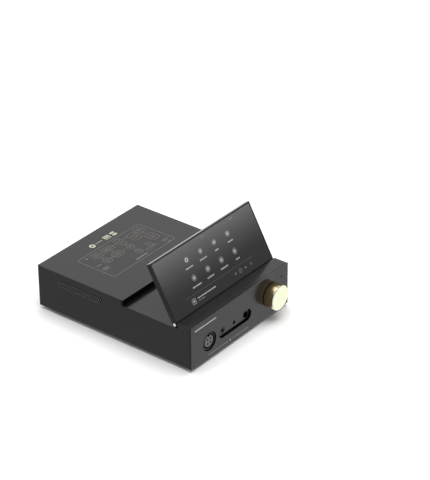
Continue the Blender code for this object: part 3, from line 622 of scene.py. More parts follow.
def side_profile():
    """The housing seen from its side: rear deck, recess with the window's seat, and front strip."""
    seat_front, seat_back = WINDOW_FRONT_Y - FIT_GAP, WINDOW_BACK_Y + FIT_GAP
    seat_low, seat_high = SEAT_Z - FIT_GAP, WINDOW_TOP_Z + FIT_GAP
    return [
        (HOUSING.low.y, BASE_Z), (HOUSING.high.y, BASE_Z), (HOUSING.high.y, DECK_Z), (STEP_Y, DECK_Z),
        (STEP_Y, seat_high), (seat_back, seat_high), (seat_back, seat_low), (seat_front, seat_low),
        (seat_front, FLOOR_Z), (RECESS_FRONT_Y, FLOOR_Z), (RECESS_FRONT_Y, DECK_Z), (HOUSING.low.y, DECK_Z),
    ]


def vent_tools():
    """For each side one tool with all its holes, flared at the mouth; the flare gets a pale colour, a painted
    highlight, and the hole's wall a near-black one, painted shade.
    """
    row_step = VENT_PITCH * math.sin(math.radians(60))
    middle = (CASE.centre.y + VENT_FROM_CENTRE_Y, BASE_Z + VENT_HEIGHT)
    wide, deep = VENT_RADIUS + VENT_FLARE, -WALL - 1
    profile = [(0, 0.2), (wide, 0.2), (VENT_RADIUS, -0.2), (VENT_RADIUS, deep), (0, deep)]
    for x, axis in zip(CASE.x, ("-X", "X")):
        bm = bmesh.new()
        for row, count in enumerate(VENT_ROWS):
            z = middle[1] + (row - (len(VENT_ROWS) - 1) / 2) * row_step
            for hole in range(count):
                y = middle[0] + (hole - (count - 1) / 2) * VENT_PITCH
                lathe(profile, (x, y, z), axis, 14, bm)
        mark(bm, 1, lambda place, normal: 0.2 < abs(normal.x) < 0.95)
        yield tool(bm, CUT_SHADE, VENT_RIM_HIGHLIGHT)


def make_housing():
    """One shell, hollowed behind its walls, with slots for the screen's knuckles and its cable."""
    shell = break_edges(prism(side_profile(), "X", CASE.x), EDGE_BREAK)
    # Painted highlight: the bevel along the deck's front edge over the radio window gets the pale edge colour.
    mark(shell, 1, lambda place, normal: abs(place.y - STEP_Y) < 1 and 0.2 < normal.z < 0.95 and normal.y < 0)
    housing = solid("housing_shell", shell, BLACK_ALUMINIUM, EDGE_HIGHLIGHT)
    past = 5.0
    front, rear = HOUSING.low.y - past, HOUSING.high.y + past
    inner = (CASE.low.x + WALL, CASE.high.x - WALL)
    under_floor = FLOOR_Z - FLOOR_THICKNESS
    upper, through_floor = (under_floor - past, DECK_Z - WALL), (under_floor - past, FLOOR_Z + past)
    spaces = [
        (inner, (front, rear), (BASE_Z - past, under_floor)),
        (inner, (WINDOW_BACK_Y + FIT_GAP + STEP_WALL, rear), upper),
        (inner, (front, RECESS_FRONT_Y - WALL), upper),
        (around(0, CABLE_SLOT_WIDTH / 2), [HINGE.y + y for y in CABLE_SLOT_BEHIND_HINGE], through_floor),
    ]
    for side in SIDES:
        x = Box("hinge_bracket_" + side).x
        spaces.append(((x[0] - FIT_GAP, x[1] + FIT_GAP), around(HINGE.y, KNUCKLE_HALF_DEPTH), through_floor))
    finish(cut(housing, *(tool(block(*space)) for space in spaces), *vent_tools()), "main_housing")


def make_posts():
    """The four screw posts in the corners of the housing."""
    bm = bmesh.new()
    for i in range(1, 5):
        centre = Box(f"base_screw_{i}").centre
        x, y = (around(place, half) for place, half in zip(centre, POST_HALF_SIZE))
        block(x, y, [BASE_Z + rise for rise in POST_RISE], bm)
    add_extra("housing_posts", break_edges(bm, 0.3), BLACK_ALUMINIUM, "black_aluminium")


def stadium(grow):
    """Outline of the jack recess, grown by an amount."""
    left = Box("balanced_jack_ring").centre.x - JACK_RECESS_ENDS[0] - grow
    right = Box("headphone_jack").centre.x + JACK_RECESS_ENDS[1] + grow
    height = JACK_RECESS_HALF_HEIGHT + grow
    return rounded((left, right), around(Box("socket_bezel").centre.z, height), height - 0.001, 12)


def flared_tool(outline_of, face, back, rim=CUT_SHADE):
    """Tool for a shaped hole in the front, wider by an edge break at its mouth; the walls get painted shade, and
    the mouth too unless another rim is given.
    """
    wide, narrow = outline_of(CUT_BREAK + 1), outline_of(0)
    rings = [(wide, face - 1), (narrow, face + CUT_BREAK), (narrow, back)]
    return tool(loft(bmesh.new(), "Y", rings, break_rings=(0,)), CUT_SHADE, rim)


def make_front():
    """Front panel with broken edges, the jack recess and round openings."""
    panel = break_edges(block(PANEL.x, PANEL.y, PANEL.z), EDGE_BREAK,
                        where=lambda edge: all(vertex.co.y < PANEL.centre.y for vertex in edge.verts))
    # Painted highlights: vertical bevels that face front left get the pale edge colour, bevels along the top front
    # the pale top-edge colour.
    mark(panel, 1, lambda place, normal: normal.x < -0.3 and normal.y < -0.3 and abs(normal.z) < 0.1)
    mark(panel, 2, lambda place, normal: normal.z > 0.3 and normal.y < -0.3)
    front = solid("front_fascia", panel, PANEL_ALUMINIUM, EDGE_HIGHLIGHT, TOP_EDGE_HIGHLIGHT)
    outlines = [stadium]
    for centre, radius, sides in ((Box("xlr_shell").centre, 12.3, 96), (KNOB_AXIS, 3.8, 32),
                                  (Box("status_light").centre, 1.0, 24),
                                  (Box("remote_sensor_window").centre, 1.45, 24)):
        outlines.append(lambda grow, c=centre.xz, r=radius, n=sides: circle(c, r + grow, n))
    tools = [flared_tool(outline, PANEL.low.y, PANEL.high.y + 2) for outline in outlines]
    finish(cut(front, *tools), "front_panel")


def make_window():
    """Dark plastic strip along the recess step that lets the radio through."""
    outline = [(WINDOW_FRONT_Y, SEAT_Z), (WINDOW_BACK_Y, SEAT_Z), (WINDOW_BACK_Y, WINDOW_TOP_Z),
               (STEP_Y, WINDOW_TOP_Z), (STEP_Y, FLOOR_Z), (WINDOW_FRONT_Y, FLOOR_Z)]
    bm = break_edges(prism(outline, "X", Box("radio_window").x), EDGE_BREAK)
    finish(solid("radio_window_strip", bm, WINDOW_PLASTIC), "radio_window")


def make_feet():
    for place in ("front_left", "front_right", "rear_left", "rear_right"):
        foot = Box("foot_" + place)
        outer, height = foot.size.x / 2, foot.size.z
        profile = [(0, height), (outer, height), (outer, 1.0)]
        profile += list(arc((outer - 1.0, 1.0), 1.0, 0, -90, 5))[1:]
        profile += [(6.0, 0), (5.6, 0.5), (4.6, 0.5), (4.2, 0), (0, 0)]
        finish(solid("rubber_foot_" + place, lathe(profile, foot.bottom), RUBBER), "foot_" + place)


def make_screw(node, face, axis, size, head, shank, recess, depth):
    """A screw from the face of its head along an axis; size is its head's radius and its length."""
    radius, length = size
    lip, rise, edge, thickness = head
    thread, tip = shank
    profile = [(0, 0), (radius - lip, 0), (radius - 0.2, rise), (radius, edge), (radius, thickness),
               (thread, thickness), (thread, length - tip), (thread - tip, length), (0, length)]
    made = solid(node + "_finish", lathe(profile, face, axis, 32), TIN)
    cut(made, tool(prism(recess, "Z", (-1.0, depth)), place=Matrix.Translation(face) @ AXIS_TURN[axis]))
    finish(made, node)


def make_screws():
    """Base screws with a six-lobed recess, and rear screws with a hexagon."""
    lobes = []
    for step in range(24):
        angle = math.radians(15 * step)
        reach = 1.3 * (0.86 + 0.14 * math.cos(6 * angle))
        lobes.append((reach * math.cos(angle), reach * math.sin(angle)))
    for i in range(1, 5):
        screw = Box(f"base_screw_{i}")
        make_screw(f"base_screw_{i}", screw.bottom, "Z", (screw.size.x / 2, screw.size.z),
                   (0.6, 0.15, 0.5, 1.6), (1.5, 0.5), lobes, 1.0)
    for side in SIDES:
        screw = Box("rear_screw_" + side)
        make_screw("rear_screw_" + side, screw.rear, "-Y", (screw.size.x / 2, screw.size.y),
                   (0.7, 0.3, 0.7, 1.4), (1.2, 0.4), circle((0, 0), 1.25, 6), 0.9)


# ---------------------------------------------------------------- screen

def flat_box(node):
    """The low and high corner of a screen node in the screen's own flat coordinates."""
    to_flat = SCREEN_PLACE.inverted()
    return corners_of([to_flat @ (vertex.co / MM) for vertex in frame["nodes"][node].data.vertices])


def make_screen_shell():
    """Back shell with a round lower edge, a pocket for the glass, and room for the hinges and pin heads."""
    low, high = flat_box("screen_frame")
    half, length = high.z, high.y
    outline = list(arc((0, 0), half, 90, 270, 24)) + [(length, -half), (length, half)]
    body = break_edges(prism(outline, "X", (low.x, high.x)), 0.3)
    # Painted highlight on the shell's top end; painted light on the front half of the round lower edge.
    mark(body, 1, lambda place, normal: normal.y > 0.9)
    mark(body, 2, lambda place, normal: place.y < 0 and normal.z > 0 and abs(normal.x) < 0.1)
    shell = solid("screen_shell", body, SCREEN_ALUMINIUM, TOP_EDGE_HIGHLIGHT, BARREL_PAINTED_LIGHT, place=SCREEN_PLACE)
    pocket = rounded((low.x + GLASS_RIM, high.x - GLASS_RIM),
                     (flat_box("screen_glass")[0].y - GLASS_LOWER_GAP, length - GLASS_RIM), 2.6)
    # The pocket's walls get the lighter barrel colour: painted light round the glass.
    tools = [tool(prism(pocket, "Z", (-1.8, half + 2)), BARREL_PAINTED_LIGHT, place=SCREEN_PLACE)]
    seam = rectangle((-half - 1, length + 1), (0.9, 1.2))
    clear = 2.0
    for side, name in zip((-1, 1), SIDES):
        bracket = Box("hinge_bracket_" + name)
        room = around(bracket.centre.x, bracket.size.x / 2 + 0.4)
        edge = side * high.x
        for bm in (
            block(room, (-4, clear + 0.3), (-4, 0)),
            block(room, (-4, 0), (-4, clear)),
            prism(circle((0, 0), clear, 48), "X", room),
            prism(circle((0, 0), PIN_SEAT_RADIUS, 48), "X", sorted((edge - side * 1.6, edge + side * 3))),
            prism(seam, "X", sorted((edge - side * 0.25, edge + side))),
        ):
            tools.append(tool(bm, place=SCREEN_PLACE))
    finish(cut(shell, *tools), "screen_frame")


def make_glass():
    low, high = flat_box("screen_glass")
    bm = prism(rounded((low.x, high.x), (low.y, high.y), 2.3, 10), "Z", (low.z, high.z))
    finish(solid("cover_glass", break_edges(bm, 0.2), GLASS, place=SCREEN_PLACE), "screen_glass")


def make_hinge_pins():
    for name, axis, end in (("left", "-X", 0), ("right", "X", 1)):
        pin = Box("hinge_pin_" + name)
        head, reach = pin.size.z / 2 + PIN_HEAD_GROWTH, pin.size.x
        profile = [(0, 0), (head - 0.25, 0), (head - 0.08, -0.06), (head, -0.25), (head, -1.1), (0.9, -1.1),
                   (0.9, 0.3 - reach), (0.6, -reach), (0, -reach)]
        # The pins take the pale pin colour: painted reflection on their ends.
        stand_in("hinge_pin_" + name, lathe(profile, (pin.x[end], HINGE.y, HINGE.z), axis), PIN_END_REFLECTION)


# ---------------------------------------------------------------- marks on the screen, deck and front

class Print:
    """Thin raised marks of one colour on one flat face; a higher layer stands over a lower one."""

    def __init__(self, axis, face, outward, layer=1):
        self.bm = bmesh.new()
        self.axis = axis
        self.span = (face - 0.01 * outward, face + INK_HEIGHT * outward * layer)

    def fill(self, *outlines):
        for outline in outlines:
            loft(self.bm, self.axis, [(outline, place) for place in self.span])

    def line(self, start, end, width):
        start, end = Vector(start), Vector(end)
        side = (end - start).normalized().orthogonal() * width / 2
        self.fill([start + side, end + side, end - side, start - side])

    def ring(self, centre, radius, width, sides=32):
        outer, inner = circle(centre, radius, sides), circle(centre, radius - width, sides)
        frame_prism(self.bm, outer, inner, self.axis, self.span)

    def frame(self, u, v, width, radius):
        outer = rounded(u, v, radius, 5)
        inner = rounded((u[0] + width, u[1] - width), (v[0] + width, v[1] - width), radius - width, 5)
        frame_prism(self.bm, outer, inner, self.axis, self.span)

    def bar(self, u, v, half_width, half_height):
        self.fill(rectangle(around(u, half_width), around(v, half_height)))

    def dashes(self, u, v, height, longest=2.2):
        """A row of short bars with small gaps, in place of words."""
        place = u[0]
        while place < u[1] - 0.4:
            end = min(place + rng.uniform(0.7, longest), u[1])
            self.fill(rectangle((place, end), around(v, height / 2)))
            place = end + rng.uniform(0.25, 0.5)

    def done(self, name, material, slot="black_aluminium", body="case", place=None):
        add_extra(name, self.bm, material, slot, body, place)


def icon_glyphs():
    """Eight plain drawings for the round icons; each takes the print and the icon's centre."""
    def note(p, u, v):
        p.ring((u, v), 2.7, 1.1)

    def bars(p, u, v):
        for i, height in enumerate((1.4, 2.4, 1.8, 2.8)):
            p.fill(rectangle(around(u - 2.1 + 1.4 * i, 0.4), (v - 1.6, v - 1.6 + height * 1.2)))

    def cross(p, u, v):
        p.line((u - 2.2, v), (u + 2.2, v), 0.7)
        p.line((u, v - 2.2), (u, v - 0.4), 0.7)
        p.line((u, v + 0.4), (u, v + 2.2), 0.7)

    def card(p, u, v):
        p.frame(around(u, 2.2), around(v, 1.8), 0.5, 0.8)
        p.bar(u, v, 1.1, 0.35)

    def drop(p, u, v):
        p.fill([(u - 1.4, v - 1.8), (u + 1.6, v), (u - 1.4, v + 1.8)])

    def dots(p, u, v):
        for du in (-1.2, 1.2):
            for dv in (-1.2, 1.2):
                p.fill(circle((u + du, v + dv), 0.8, 16))

    def rays(p, u, v):
        p.fill(circle((u, v), 1.1, 20))
        for start, end in zip(arc((u, v), 1.7, 0, 315, 7), arc((u, v), 2.5, 0, 315, 7)):
            p.line(start, end, 0.4)

    def steps(p, u, v):
        for i in range(3):
            p.bar(u, v + 1.4 * (i - 1), 2.1 - 0.5 * i, 0.35)

    return note, cross, bars, card, rays, dots, steps, drop


def make_screen_image():
    """A generic home page: status marks, eight icons with labels, a rule and a playback row."""
    low, high = flat_box("screen_glass")
    # Painted shade: a near-black band along the glass's top and sides stands for the dark gap between glass and
    # shell.
    edge_shade = Print("Z", high.z, 1, 0.5)
    left, right, top = low.x + 0.2, high.x - 0.2, high.y - 0.2
    edge_shade.fill(rectangle((left, right), (top - 1.0, top)))
    for x in (left, right - 0.9):
        edge_shade.fill(rectangle((x, x + 0.9), (low.y + 2.0, top - 1.0)))

    bright, middle, faint = (Print("Z", high.z, 1, layer) for layer in (3, 2, 1))
    glyphs = iter(icon_glyphs())
    rows = ((58.2, 2.9, 48.4, (14.0, 13.0, 6.5, 9.0)), (35.0, 2.2, 25.1, (16.0, 13.0, 13.5, 7.0)))
    for icon_v, spot, label_v, label_widths in rows:
        for u, width in zip((-38.8, -12.8, 13.0, 38.9), label_widths):
            faint.fill(circle((u, icon_v), 4.3, 40))
            middle.fill(circle((u, icon_v), spot, 40))
            next(glyphs)(bright, u, icon_v)
            bright.dashes(around(u, width / 2), label_v, 1.5)
    middle.dashes((50.2, 57.6), 71.4, 1.5)
    middle.dashes((-4.0, 2.2), 71.4, 1.1)
    faint.line((-64.7, 18.2), (61.7, 17.6), 0.35)
    middle.frame(around(-53.3, 3.7), around(10.8, 3.5), 1.2, 1.5)
    bright.fill(circle((-53.3, 10.8), 1.5, 20))
    bright.dashes((-46.1, -12.0), 11.8, 1.3, 3.4)
    middle.dashes((-45.8, -34.0), 8.6, 0.9)
    middle.fill([(26.9, 9.2), (23.8, 10.7), (26.9, 12.2)], [(44.1, 9.1), (47.2, 10.6), (44.1, 12.1)])
    faint.ring((35.3, 10.6), 3.3, 0.8, 40)
    for u in (34.5, 36.1):
        faint.bar(u, 10.6, 0.5, 1.5)
    for rise in (-1.3, 0.0, 1.3):
        faint.bar(56.3, 10.6 + rise, 1.8, 0.4)
    for ink, name, material in (
        (edge_shade, "glass_edge_painted_shade", GLASS_EDGE_SHADE), (bright, "screen_labels", PIXEL_BRIGHT),
        (middle, "screen_icons", PIXEL_MIDDLE), (faint, "screen_rules", PIXEL_FAINT),
    ):
        ink.done(name, material, "screen_glass", "screen", SCREEN_PLACE)


def make_deck_print():
    """Signal diagram in thin lines inside a frame, and three pale marks behind it, from the case's middle."""
    diagram, accents, dim, marks = (Print("Z", DECK_Z, 1) for _ in range(4))
    diagram.frame((-59.0, 57.3), (26.6, 86.6), 0.5, 4.0)
    for ink, u, v, corner in (
        (diagram, (-40.5, -27.8), (69.7, 81.7), 1.2), (diagram, (-40.5, -27.8), (52.8, 64.8), 5.9),
        (diagram, (-23.4, -5.2), (70.5, 81.5), 1.2), (diagram, (-23.4, -5.2), (52.8, 65.3), 5.5),
        (diagram, (3.1, 13.6), (67.5, 82.8), 1.2), (diagram, (3.1, 13.6), (52.8, 64.3), 5.2),
        (diagram, (1.8, 11.0), (37.4, 47.3), 4.5), (accents, (23.0, 36.3), (61.5, 79.0), 1.5),
        (diagram, (39.0, 52.0), (69.0, 82.5), 1.2), (accents, (37.4, 50.7), (45.0, 60.5), 2.5),
        (diagram, (23.0, 29.7), (38.5, 48.4), 0.8),
    ):
        ink.frame(u, v, 0.45, corner)
        for share in (0.36, 0.64):
            ink.dashes((u[0] + 2.6, u[1] - 2.6), v[0] + (v[1] - v[0]) * share, 0.9)
    for v, spans in ((76.0, ((-27.8, -23.4), (-5.2, 3.1), (13.6, 23.0), (36.3, 39.0))),
                     (59.0, ((-27.8, -23.4), (-5.2, 3.1))), (35.6, ((12.5, 34.0),)), (38.2, ((12.5, 34.0),))):
        for start, end in spans:
            diagram.line((start, v), (end, v), 0.4)
    for u, start, end in ((-34.2, 64.8, 69.7), (-14.3, 65.3, 70.5), (8.3, 64.3, 67.5), (6.4, 47.3, 52.8),
                          (44.0, 60.5, 69.0)):
        diagram.line((u, start), (u, end), 0.4)
    diagram.fill([(-49.6, 81.6), (-47.7, 78.6), (-45.8, 81.6)])
    for u, v in (((-53.5, -45.0), 58.8), ((-54.5, -44.2), 49.6), ((-54.5, -46.0), 47.5),
                 ((-54.5, -44.2), 45.4), ((42.0, 52.0), 36.4), ((43.0, 50.7), 33.6), ((43.5, 51.0), 28.4)):
        diagram.dashes(u, v, 0.9)
    dim.dashes((-11.7, 9.2), 31.8, 1.1, 2.8)
    marks_v = 95.5
    marks.ring((-20.0, marks_v), 4.1, 2.5, 40)
    dim.dashes((-13.8, -1.6), marks_v, 1.7, 2.6)
    for column in range(3):
        for row, tone in ((1, marks), (0, marks), (-1, dim)):
            tone.bar(3.9 + 3.4 * column, marks_v + 3.0 * row, 1.35, 1.25)
    for rise in (-2.5, 2.5):
        marks.fill(rounded((15.5, 23.0), around(marks_v + rise, 1.7), 1.65, 6))
    for ink, name, material in (
        (diagram, "deck_diagram", BRONZE_INK), (accents, "deck_accents", RED_BROWN_INK),
        (dim, "deck_lines", GREY_GOLD_INK), (marks, "deck_marks", PALE_GOLD_INK),
    ):
        ink.done(name, material, place=Matrix.Translation((0, CASE.centre.y, 0)))


def make_front_print():
    """A row of dashes at the top left, and a thin rule with a dot, from the case's lower edge."""
    bright, faint = Print("Y", PANEL.low.y, -1), Print("Y", PANEL.low.y, -1)
    bright.dashes((-87.0, -46.8), 49.2, 1.3, 2.0)
    bright.fill(circle((-20.7, 4.7), 1.05, 20))
    for span in ((-62.0, -24.5), (-17.0, 14.5)):
        faint.dashes(span, 4.7, 0.85, 3.0)
    for ink, name, material in ((bright, "front_marks", SILVER_INK), (faint, "front_rule", FAINT_INK)):
        ink.done(name, material, place=Matrix.Translation((0, 0, BASE_Z)))


# ---------------------------------------------------------------- front sockets

def make_xlr_socket():
    """Balanced headphone socket: a shell with a raised lip, and an insert with four contacts."""
    shell, insert = Box("xlr_shell"), Box("xlr_insert")
    outer, flange, well, back = 12.0, 13.6, 9.7, -shell.size.y
    profile = [
        (0, back), (outer, back), (outer, -3.4), (flange, -3.4), (flange, -1.6), (outer, -1.6), (outer, -0.7),
        (outer - 0.2, -0.5), (well + 0.7, -0.5), (well + 0.55, -0.15), (well + 0.4, 0), (well + 0.15, 0),
        (well, -0.2), (well, back + 3.0), (0, back + 3.0),
    ]
    # Painted shade: the shell is the darker, less reflecting black plastic.
    bm = lathe(profile, shell.front, "-Y", 96)
    # Painted highlight: the lip's front face gets the grey plastic.
    mark(bm, 1, lambda place, normal: normal.y < -0.7 and abs(place.y - shell.low.y) < 0.1)
    stand_in("xlr_shell", bm, SHADED_PLASTIC, GREY_PLASTIC)

    radius, back = insert.size.x / 2, -insert.size.y
    x, face, z = insert.front
    profile = [(0, back), (radius, back), (radius, -0.5), (radius - 0.15, -0.15), (radius - 0.5, 0), (0, 0)]
    made = solid("xlr_insert_finish", lathe(profile, insert.front, "-Y", 96), GREY_PLASTIC)
    holes, contacts = bmesh.new(), bmesh.new()
    hole = [(0, 1), (2.3, 1), (1.25, -0.05), (1.25, -9), (0, -9)]
    sleeve = [(1.2, -0.6), (1.2, -8.0), (0.85, -8.0), (0.85, -0.6), (1.2, -0.6)]
    for u, v in arc((x, z), 3.9, 45, 315, 3):
        lathe(hole, (u, face, v), "-Y", 32, holes)
        lathe(sleeve, (u, face, v), "-Y", 24, contacts)
    key = block(around(x, 1.3), (face - 1, face + 6), (z + radius - 1.6, z + radius + 1))
    finish(cut(made, tool(holes), tool(key)), "xlr_insert")
    add_extra("xlr_contacts", contacts, GOLD, "gold_plate")


# Each jack with the radius of its opening in the bezel, its nose and its bore, and how deep its nose lies
JACKS = (("balanced_jack", 4.4, 4.0, 2.3, 0.8), ("small_jack", 2.4, 2.9, 1.9, 2.1),
         ("headphone_jack", 4.7, 4.4, 3.3, -0.2))


def make_jack(node, nose, bore, front, bezel):
    """A jack's body behind the bezel, with its nose and bore."""
    jack = Box(node)
    body_front = bezel.high.y + 0.6
    body = break_edges(block(jack.x, (body_front, jack.high.y), jack.z), 0.4)
    # The jack's body and nose take the darker, less reflecting black plastic: painted shade in the opening.
    made = solid(node + "_finish", body, SHADED_PLASTIC)
    centre = (jack.centre.x, front, bezel.centre.z)
    root, end = front - body_front - 1, front - jack.high.y + 2
    outer = [(0, 0), (nose - 0.4, 0), (nose - 0.1, -0.1), (nose, -0.4), (nose, root), (0, root)]
    join(made, tool(lathe(outer, centre, "-Y"), SHADED_PLASTIC))
    hole = [(0, 1), (bore + 1.4, 1), (bore, -0.4), (bore, end), (0, end)]
    finish(cut(made, tool(lathe(hole, centre, "-Y"))), node)


def make_jacks():
    """Bezel plate with three openings, the jacks behind it, a metal ring, and the contact springs."""
    bezel = Box("socket_bezel")
    face, level = bezel.low.y, bezel.centre.z
    plate = break_edges(block(bezel.x, bezel.y, bezel.z), 0.2, 2)
    made = solid("socket_bezel_finish", plate, PANEL_ALUMINIUM, EDGE_HIGHLIGHT)
    tools = []
    for node, opening, *_ in JACKS:
        outline = lambda grow, x=Box(node).centre.x, r=opening: circle((x, level), r + grow * 0.7, 64)
        tools.append(flared_tool(outline, face, bezel.high.y + 2, PANEL_ALUMINIUM))
    finish(cut(made, *tools), "socket_bezel")
    for node, _, nose, bore, inset in JACKS:
        make_jack(node, nose, bore, face + inset, bezel)

    ring = Box("balanced_jack_ring").centre
    centre = (ring.x, face, ring.z)
    lip = [(2.5, -0.35), (2.7, -0.35), (2.85, -0.45), (2.85, -0.6), (2.4, -0.6), (2.4, -0.45), (2.5, -0.35)]
    # The ring gets the darkened gold: painted shade inside the jack.
    stand_in("balanced_jack_ring", lathe(lip, centre, "-Y"), SHADED_GOLD)
    collar = [(3.05, 0.25), (3.9, 0.25), (4.1, 0.05), (4.1, -0.5), (3.0, -0.5), (3.0, 0.2), (3.05, 0.25)]
    add_extra("balanced_jack_collar", lathe(collar, centre, "-Y"), PANEL_ALUMINIUM, "black_aluminium")
    springs = bmesh.new()
    for node, drop in (("headphone_jack", 3.3), ("small_jack", 1.8)):
        low = level - drop
        block(around(Box(node).centre.x, 0.6), (face + 4.0, face + 9.0), (low, low + 0.35), springs)
    add_extra("jack_springs", break_edges(springs, 0.1, 2), GOLD, "gold_plate")


def make_lights():
    """The status light and the sensor window, each with a low dome."""
    for node, material in (("status_light", SILVER_INK), ("remote_sensor_window", PANEL_ALUMINIUM)):
        pipe = Box(node)
        radius, dome = pipe.size.x / 2, 0.4
        profile = [(0, 0)]
        for step in range(1, 7):
            angle = math.radians(15 * step)
            profile.append((radius * math.sin(angle), dome * (math.cos(angle) - 1)))
        profile += [(radius, -pipe.size.y), (0, -pipe.size.y)]
        stand_in(node, lathe(profile, pipe.front, "-Y", 32), material)


# ---------------------------------------------------------------- volume control

def make_knob():
    """The knob about its axis, with a band at its face, grooves behind it and a bore for the shaft."""
    knob = Box("volume_knob")
    radius, front = knob.size.x / 2, KNOB_AXIS.y - knob.low.y
    shoulder, rear = front - KNOB_CHAMFER, KNOB_AXIS.y - knob.high.y - KNOB_REAR_GROWTH
    profile = [(0, front), (radius - KNOB_CHAMFER - 0.15, front), (radius - KNOB_CHAMFER, front - 0.06),
               (radius - 0.1, shoulder + 0.04), (radius, shoulder - 0.15)]
    half, floor = KNOB_GROOVE_WIDTH / 2, radius - KNOB_GROOVE_DEPTH
    for groove in range(int((shoulder - KNOB_BAND - rear - 1.2) / KNOB_GROOVE_PITCH)):
        middle = shoulder - KNOB_BAND - KNOB_GROOVE_PITCH * groove
        upper, lower = middle + half, middle - half
        profile += [(radius, upper), (floor, upper), (floor, lower), (radius, lower)]
    profile += [(radius, rear + 0.25), (radius - 0.07, rear + 0.07), (radius - 0.25, rear), (7.2, rear),
                (7.2, 4.9), (3.3, 4.9), (3.3, front - 2.8), (0, front - 2.8)]
    bm = lathe(profile, KNOB_AXIS, "-Y", 128)
    side = knob.low.y + KNOB_CHAMFER + KNOB_BAND - KNOB_GROOVE_WIDTH
    mark(bm, 1, lambda place, normal: place.y > side)
    # The groove floors and walls, and the hidden rear and bore, get the darker brass: painted shade in the
    # grooves.
    mark(bm, 2, lambda place, normal: place.y > side and (place - KNOB_AXIS).xz.length < radius - 0.1)
    finish(solid("turned_knob", bm, KNOB_FACE, KNOB_SIDE, GROOVE_SHADE_BRASS), "volume_knob")


# ---------------------------------------------------------------- rear

# How far each opening of the rear panel lies inside its socket, and the radius of its corners
REAR_CUTOUTS = (("power_inlet", 1.0, 1.5), ("switch_bezel", 1.1, 0.8), ("ethernet_socket", -0.4, 0.5),
                ("usb_socket", -0.4, 0.5))
REAR_ROUND_HOLES = (("xlr_output_left", 11.9), ("xlr_output_right", 11.9), ("phono_output_left", 4.5),
                    ("phono_output_right", 4.5), ("coaxial_input", 4.5), ("rear_screw_left", 1.5),
                    ("rear_screw_right", 1.5))
# The height of each printed label over its socket, and its width
REAR_LABELS = (("power_inlet", 3.6, 12.0), ("switch_bezel", 3.4, 7.0), ("usb_socket", 3.0, 6.0),
               ("ethernet_socket", 3.0, 8.0), ("coaxial_input", 3.0, 7.0), ("phono_output_left", 3.0, 6.0),
               ("phono_output_right", 3.0, 6.0), ("xlr_output_left", 2.6, 12.0),
               ("xlr_output_right", 2.6, 12.0))


def make_rear_plate():
    """Rear panel with an opening for each socket and screw, and printed labels."""
    plate = Box("rear_panel")
    # All its bevels get the pale edge colour: painted highlight.
    bm = break_edges(block(plate.x, plate.y, plate.z), 0.3, 2, material=1)
    made = solid("rear_plate", bm, BLACK_ALUMINIUM, EDGE_HIGHLIGHT)
    outlines = []
    for node, inset, radius in REAR_CUTOUTS:
        item = Box(node)
        u, v = ((low + inset, high - inset) for low, high in (item.x, item.z))
        outlines.append(rounded(u, v, radius, 4))
    outlines += [circle(Box(node).centre.xz, radius, 48) for node, radius in REAR_ROUND_HOLES]
    through = (plate.low.y - 2, plate.high.y + 2)
    finish(cut(made, *(tool(prism(outline, "Y", through)) for outline in outlines)), "rear_panel")

    marks = Print("Y", plate.high.y, 1)
    for node, rise, width in REAR_LABELS:
        item = Box(node)
        marks.dashes(around(item.centre.x, width / 2), item.high.z + rise, 1.1)
    low = min(Box("xlr_output_left").low.z, Box("phono_output_right").low.z) - 4.0
    marks.line((Box("coaxial_input").low.x, low), (Box("xlr_output_right").high.x, low), 0.35)
    marks.done("rear_marks", SILVER_INK)


def make_xlr_outputs():
    """Flange with two screw seats, a round well and three pins."""
    for side in SIDES:
        node = "xlr_output_" + side
        output = Box(node)
        x, face, z = output.rear
        back = -output.size.y
        flange = break_edges(prism(rounded(output.x, output.z, 2.5), "Y", (face - 1.6, face)), 0.35)
        made = solid(node + "_finish", flange, BLACK_PLASTIC)
        barrel = [(0, back), (11.5, back), (11.5, -1.0), (0, -1.0)]
        join(made, tool(lathe(barrel, output.rear, "Y", 96), BLACK_PLASTIC))
        well = [(0, 1), (10.9, 1), (9.6, -0.3), (9.6, back + 5), (0, back + 5)]
        screw_seat = [(0, 1), (2.9, 1), (1.6, -0.6), (1.6, -1.2), (0, -1.2)]
        seats, pins = bmesh.new(), bmesh.new()
        for dx, dz in ((-9.6, 12.0), (9.6, -12.0)):
            lathe(screw_seat, (x + dx, face, z + dz), "Y", 32, seats)
        finish(cut(made, tool(lathe(well, output.rear, "Y", 96), BLACK_PLASTIC), tool(seats, TIN)), node)
        pin = [(0, -1.4), (0.5, -1.5), (1.0, -1.9), (1.2, -2.6), (1.2, back + 5.5), (0, back + 5.5)]
        for u, v in arc((x, z), 5.0, 90, 330, 2):
            lathe(pin, (u, face, v), "Y", 32, pins)
        add_extra(node + "_pins", pins, NICKEL, "plated_metal")


def make_phono_sockets():
    """Gold barrels with a round collar at the panel and an insulating liner."""
    for node, insulator in (("phono_output_left", GREY_PLASTIC), ("phono_output_right", GREY_PLASTIC),
                            ("coaxial_input", BLACK_PLASTIC)):
        socket = Box(node)
        back, mouth, panel = -socket.size.y, -8.0, Box("rear_panel").high.y - socket.high.y
        profile = [
            (0, mouth), (1.6, mouth), (1.6, -0.3), (1.9, 0), (3.8, 0), (4.1, -0.3), (4.1, -1.6), (3.85, -1.8),
            (3.85, -2.4), (4.1, -2.6), (4.1, panel + 2.0), (5.6, panel + 2.0), (6.0, panel + 1.6),
            (6.0, panel + 0.3), (4.1, panel + 0.3), (4.1, back), (0, back),
        ]
        stand_in(node, lathe(profile, socket.rear, "Y", 72), GOLD)
        liner = [(1.55, -0.5), (1.55, mouth + 0.1), (1.1, mouth + 0.1), (1.1, -0.5), (1.55, -0.5)]
        add_extra(node + "_liner", lathe(liner, socket.rear, "Y", 48), insulator, "black_plastic")


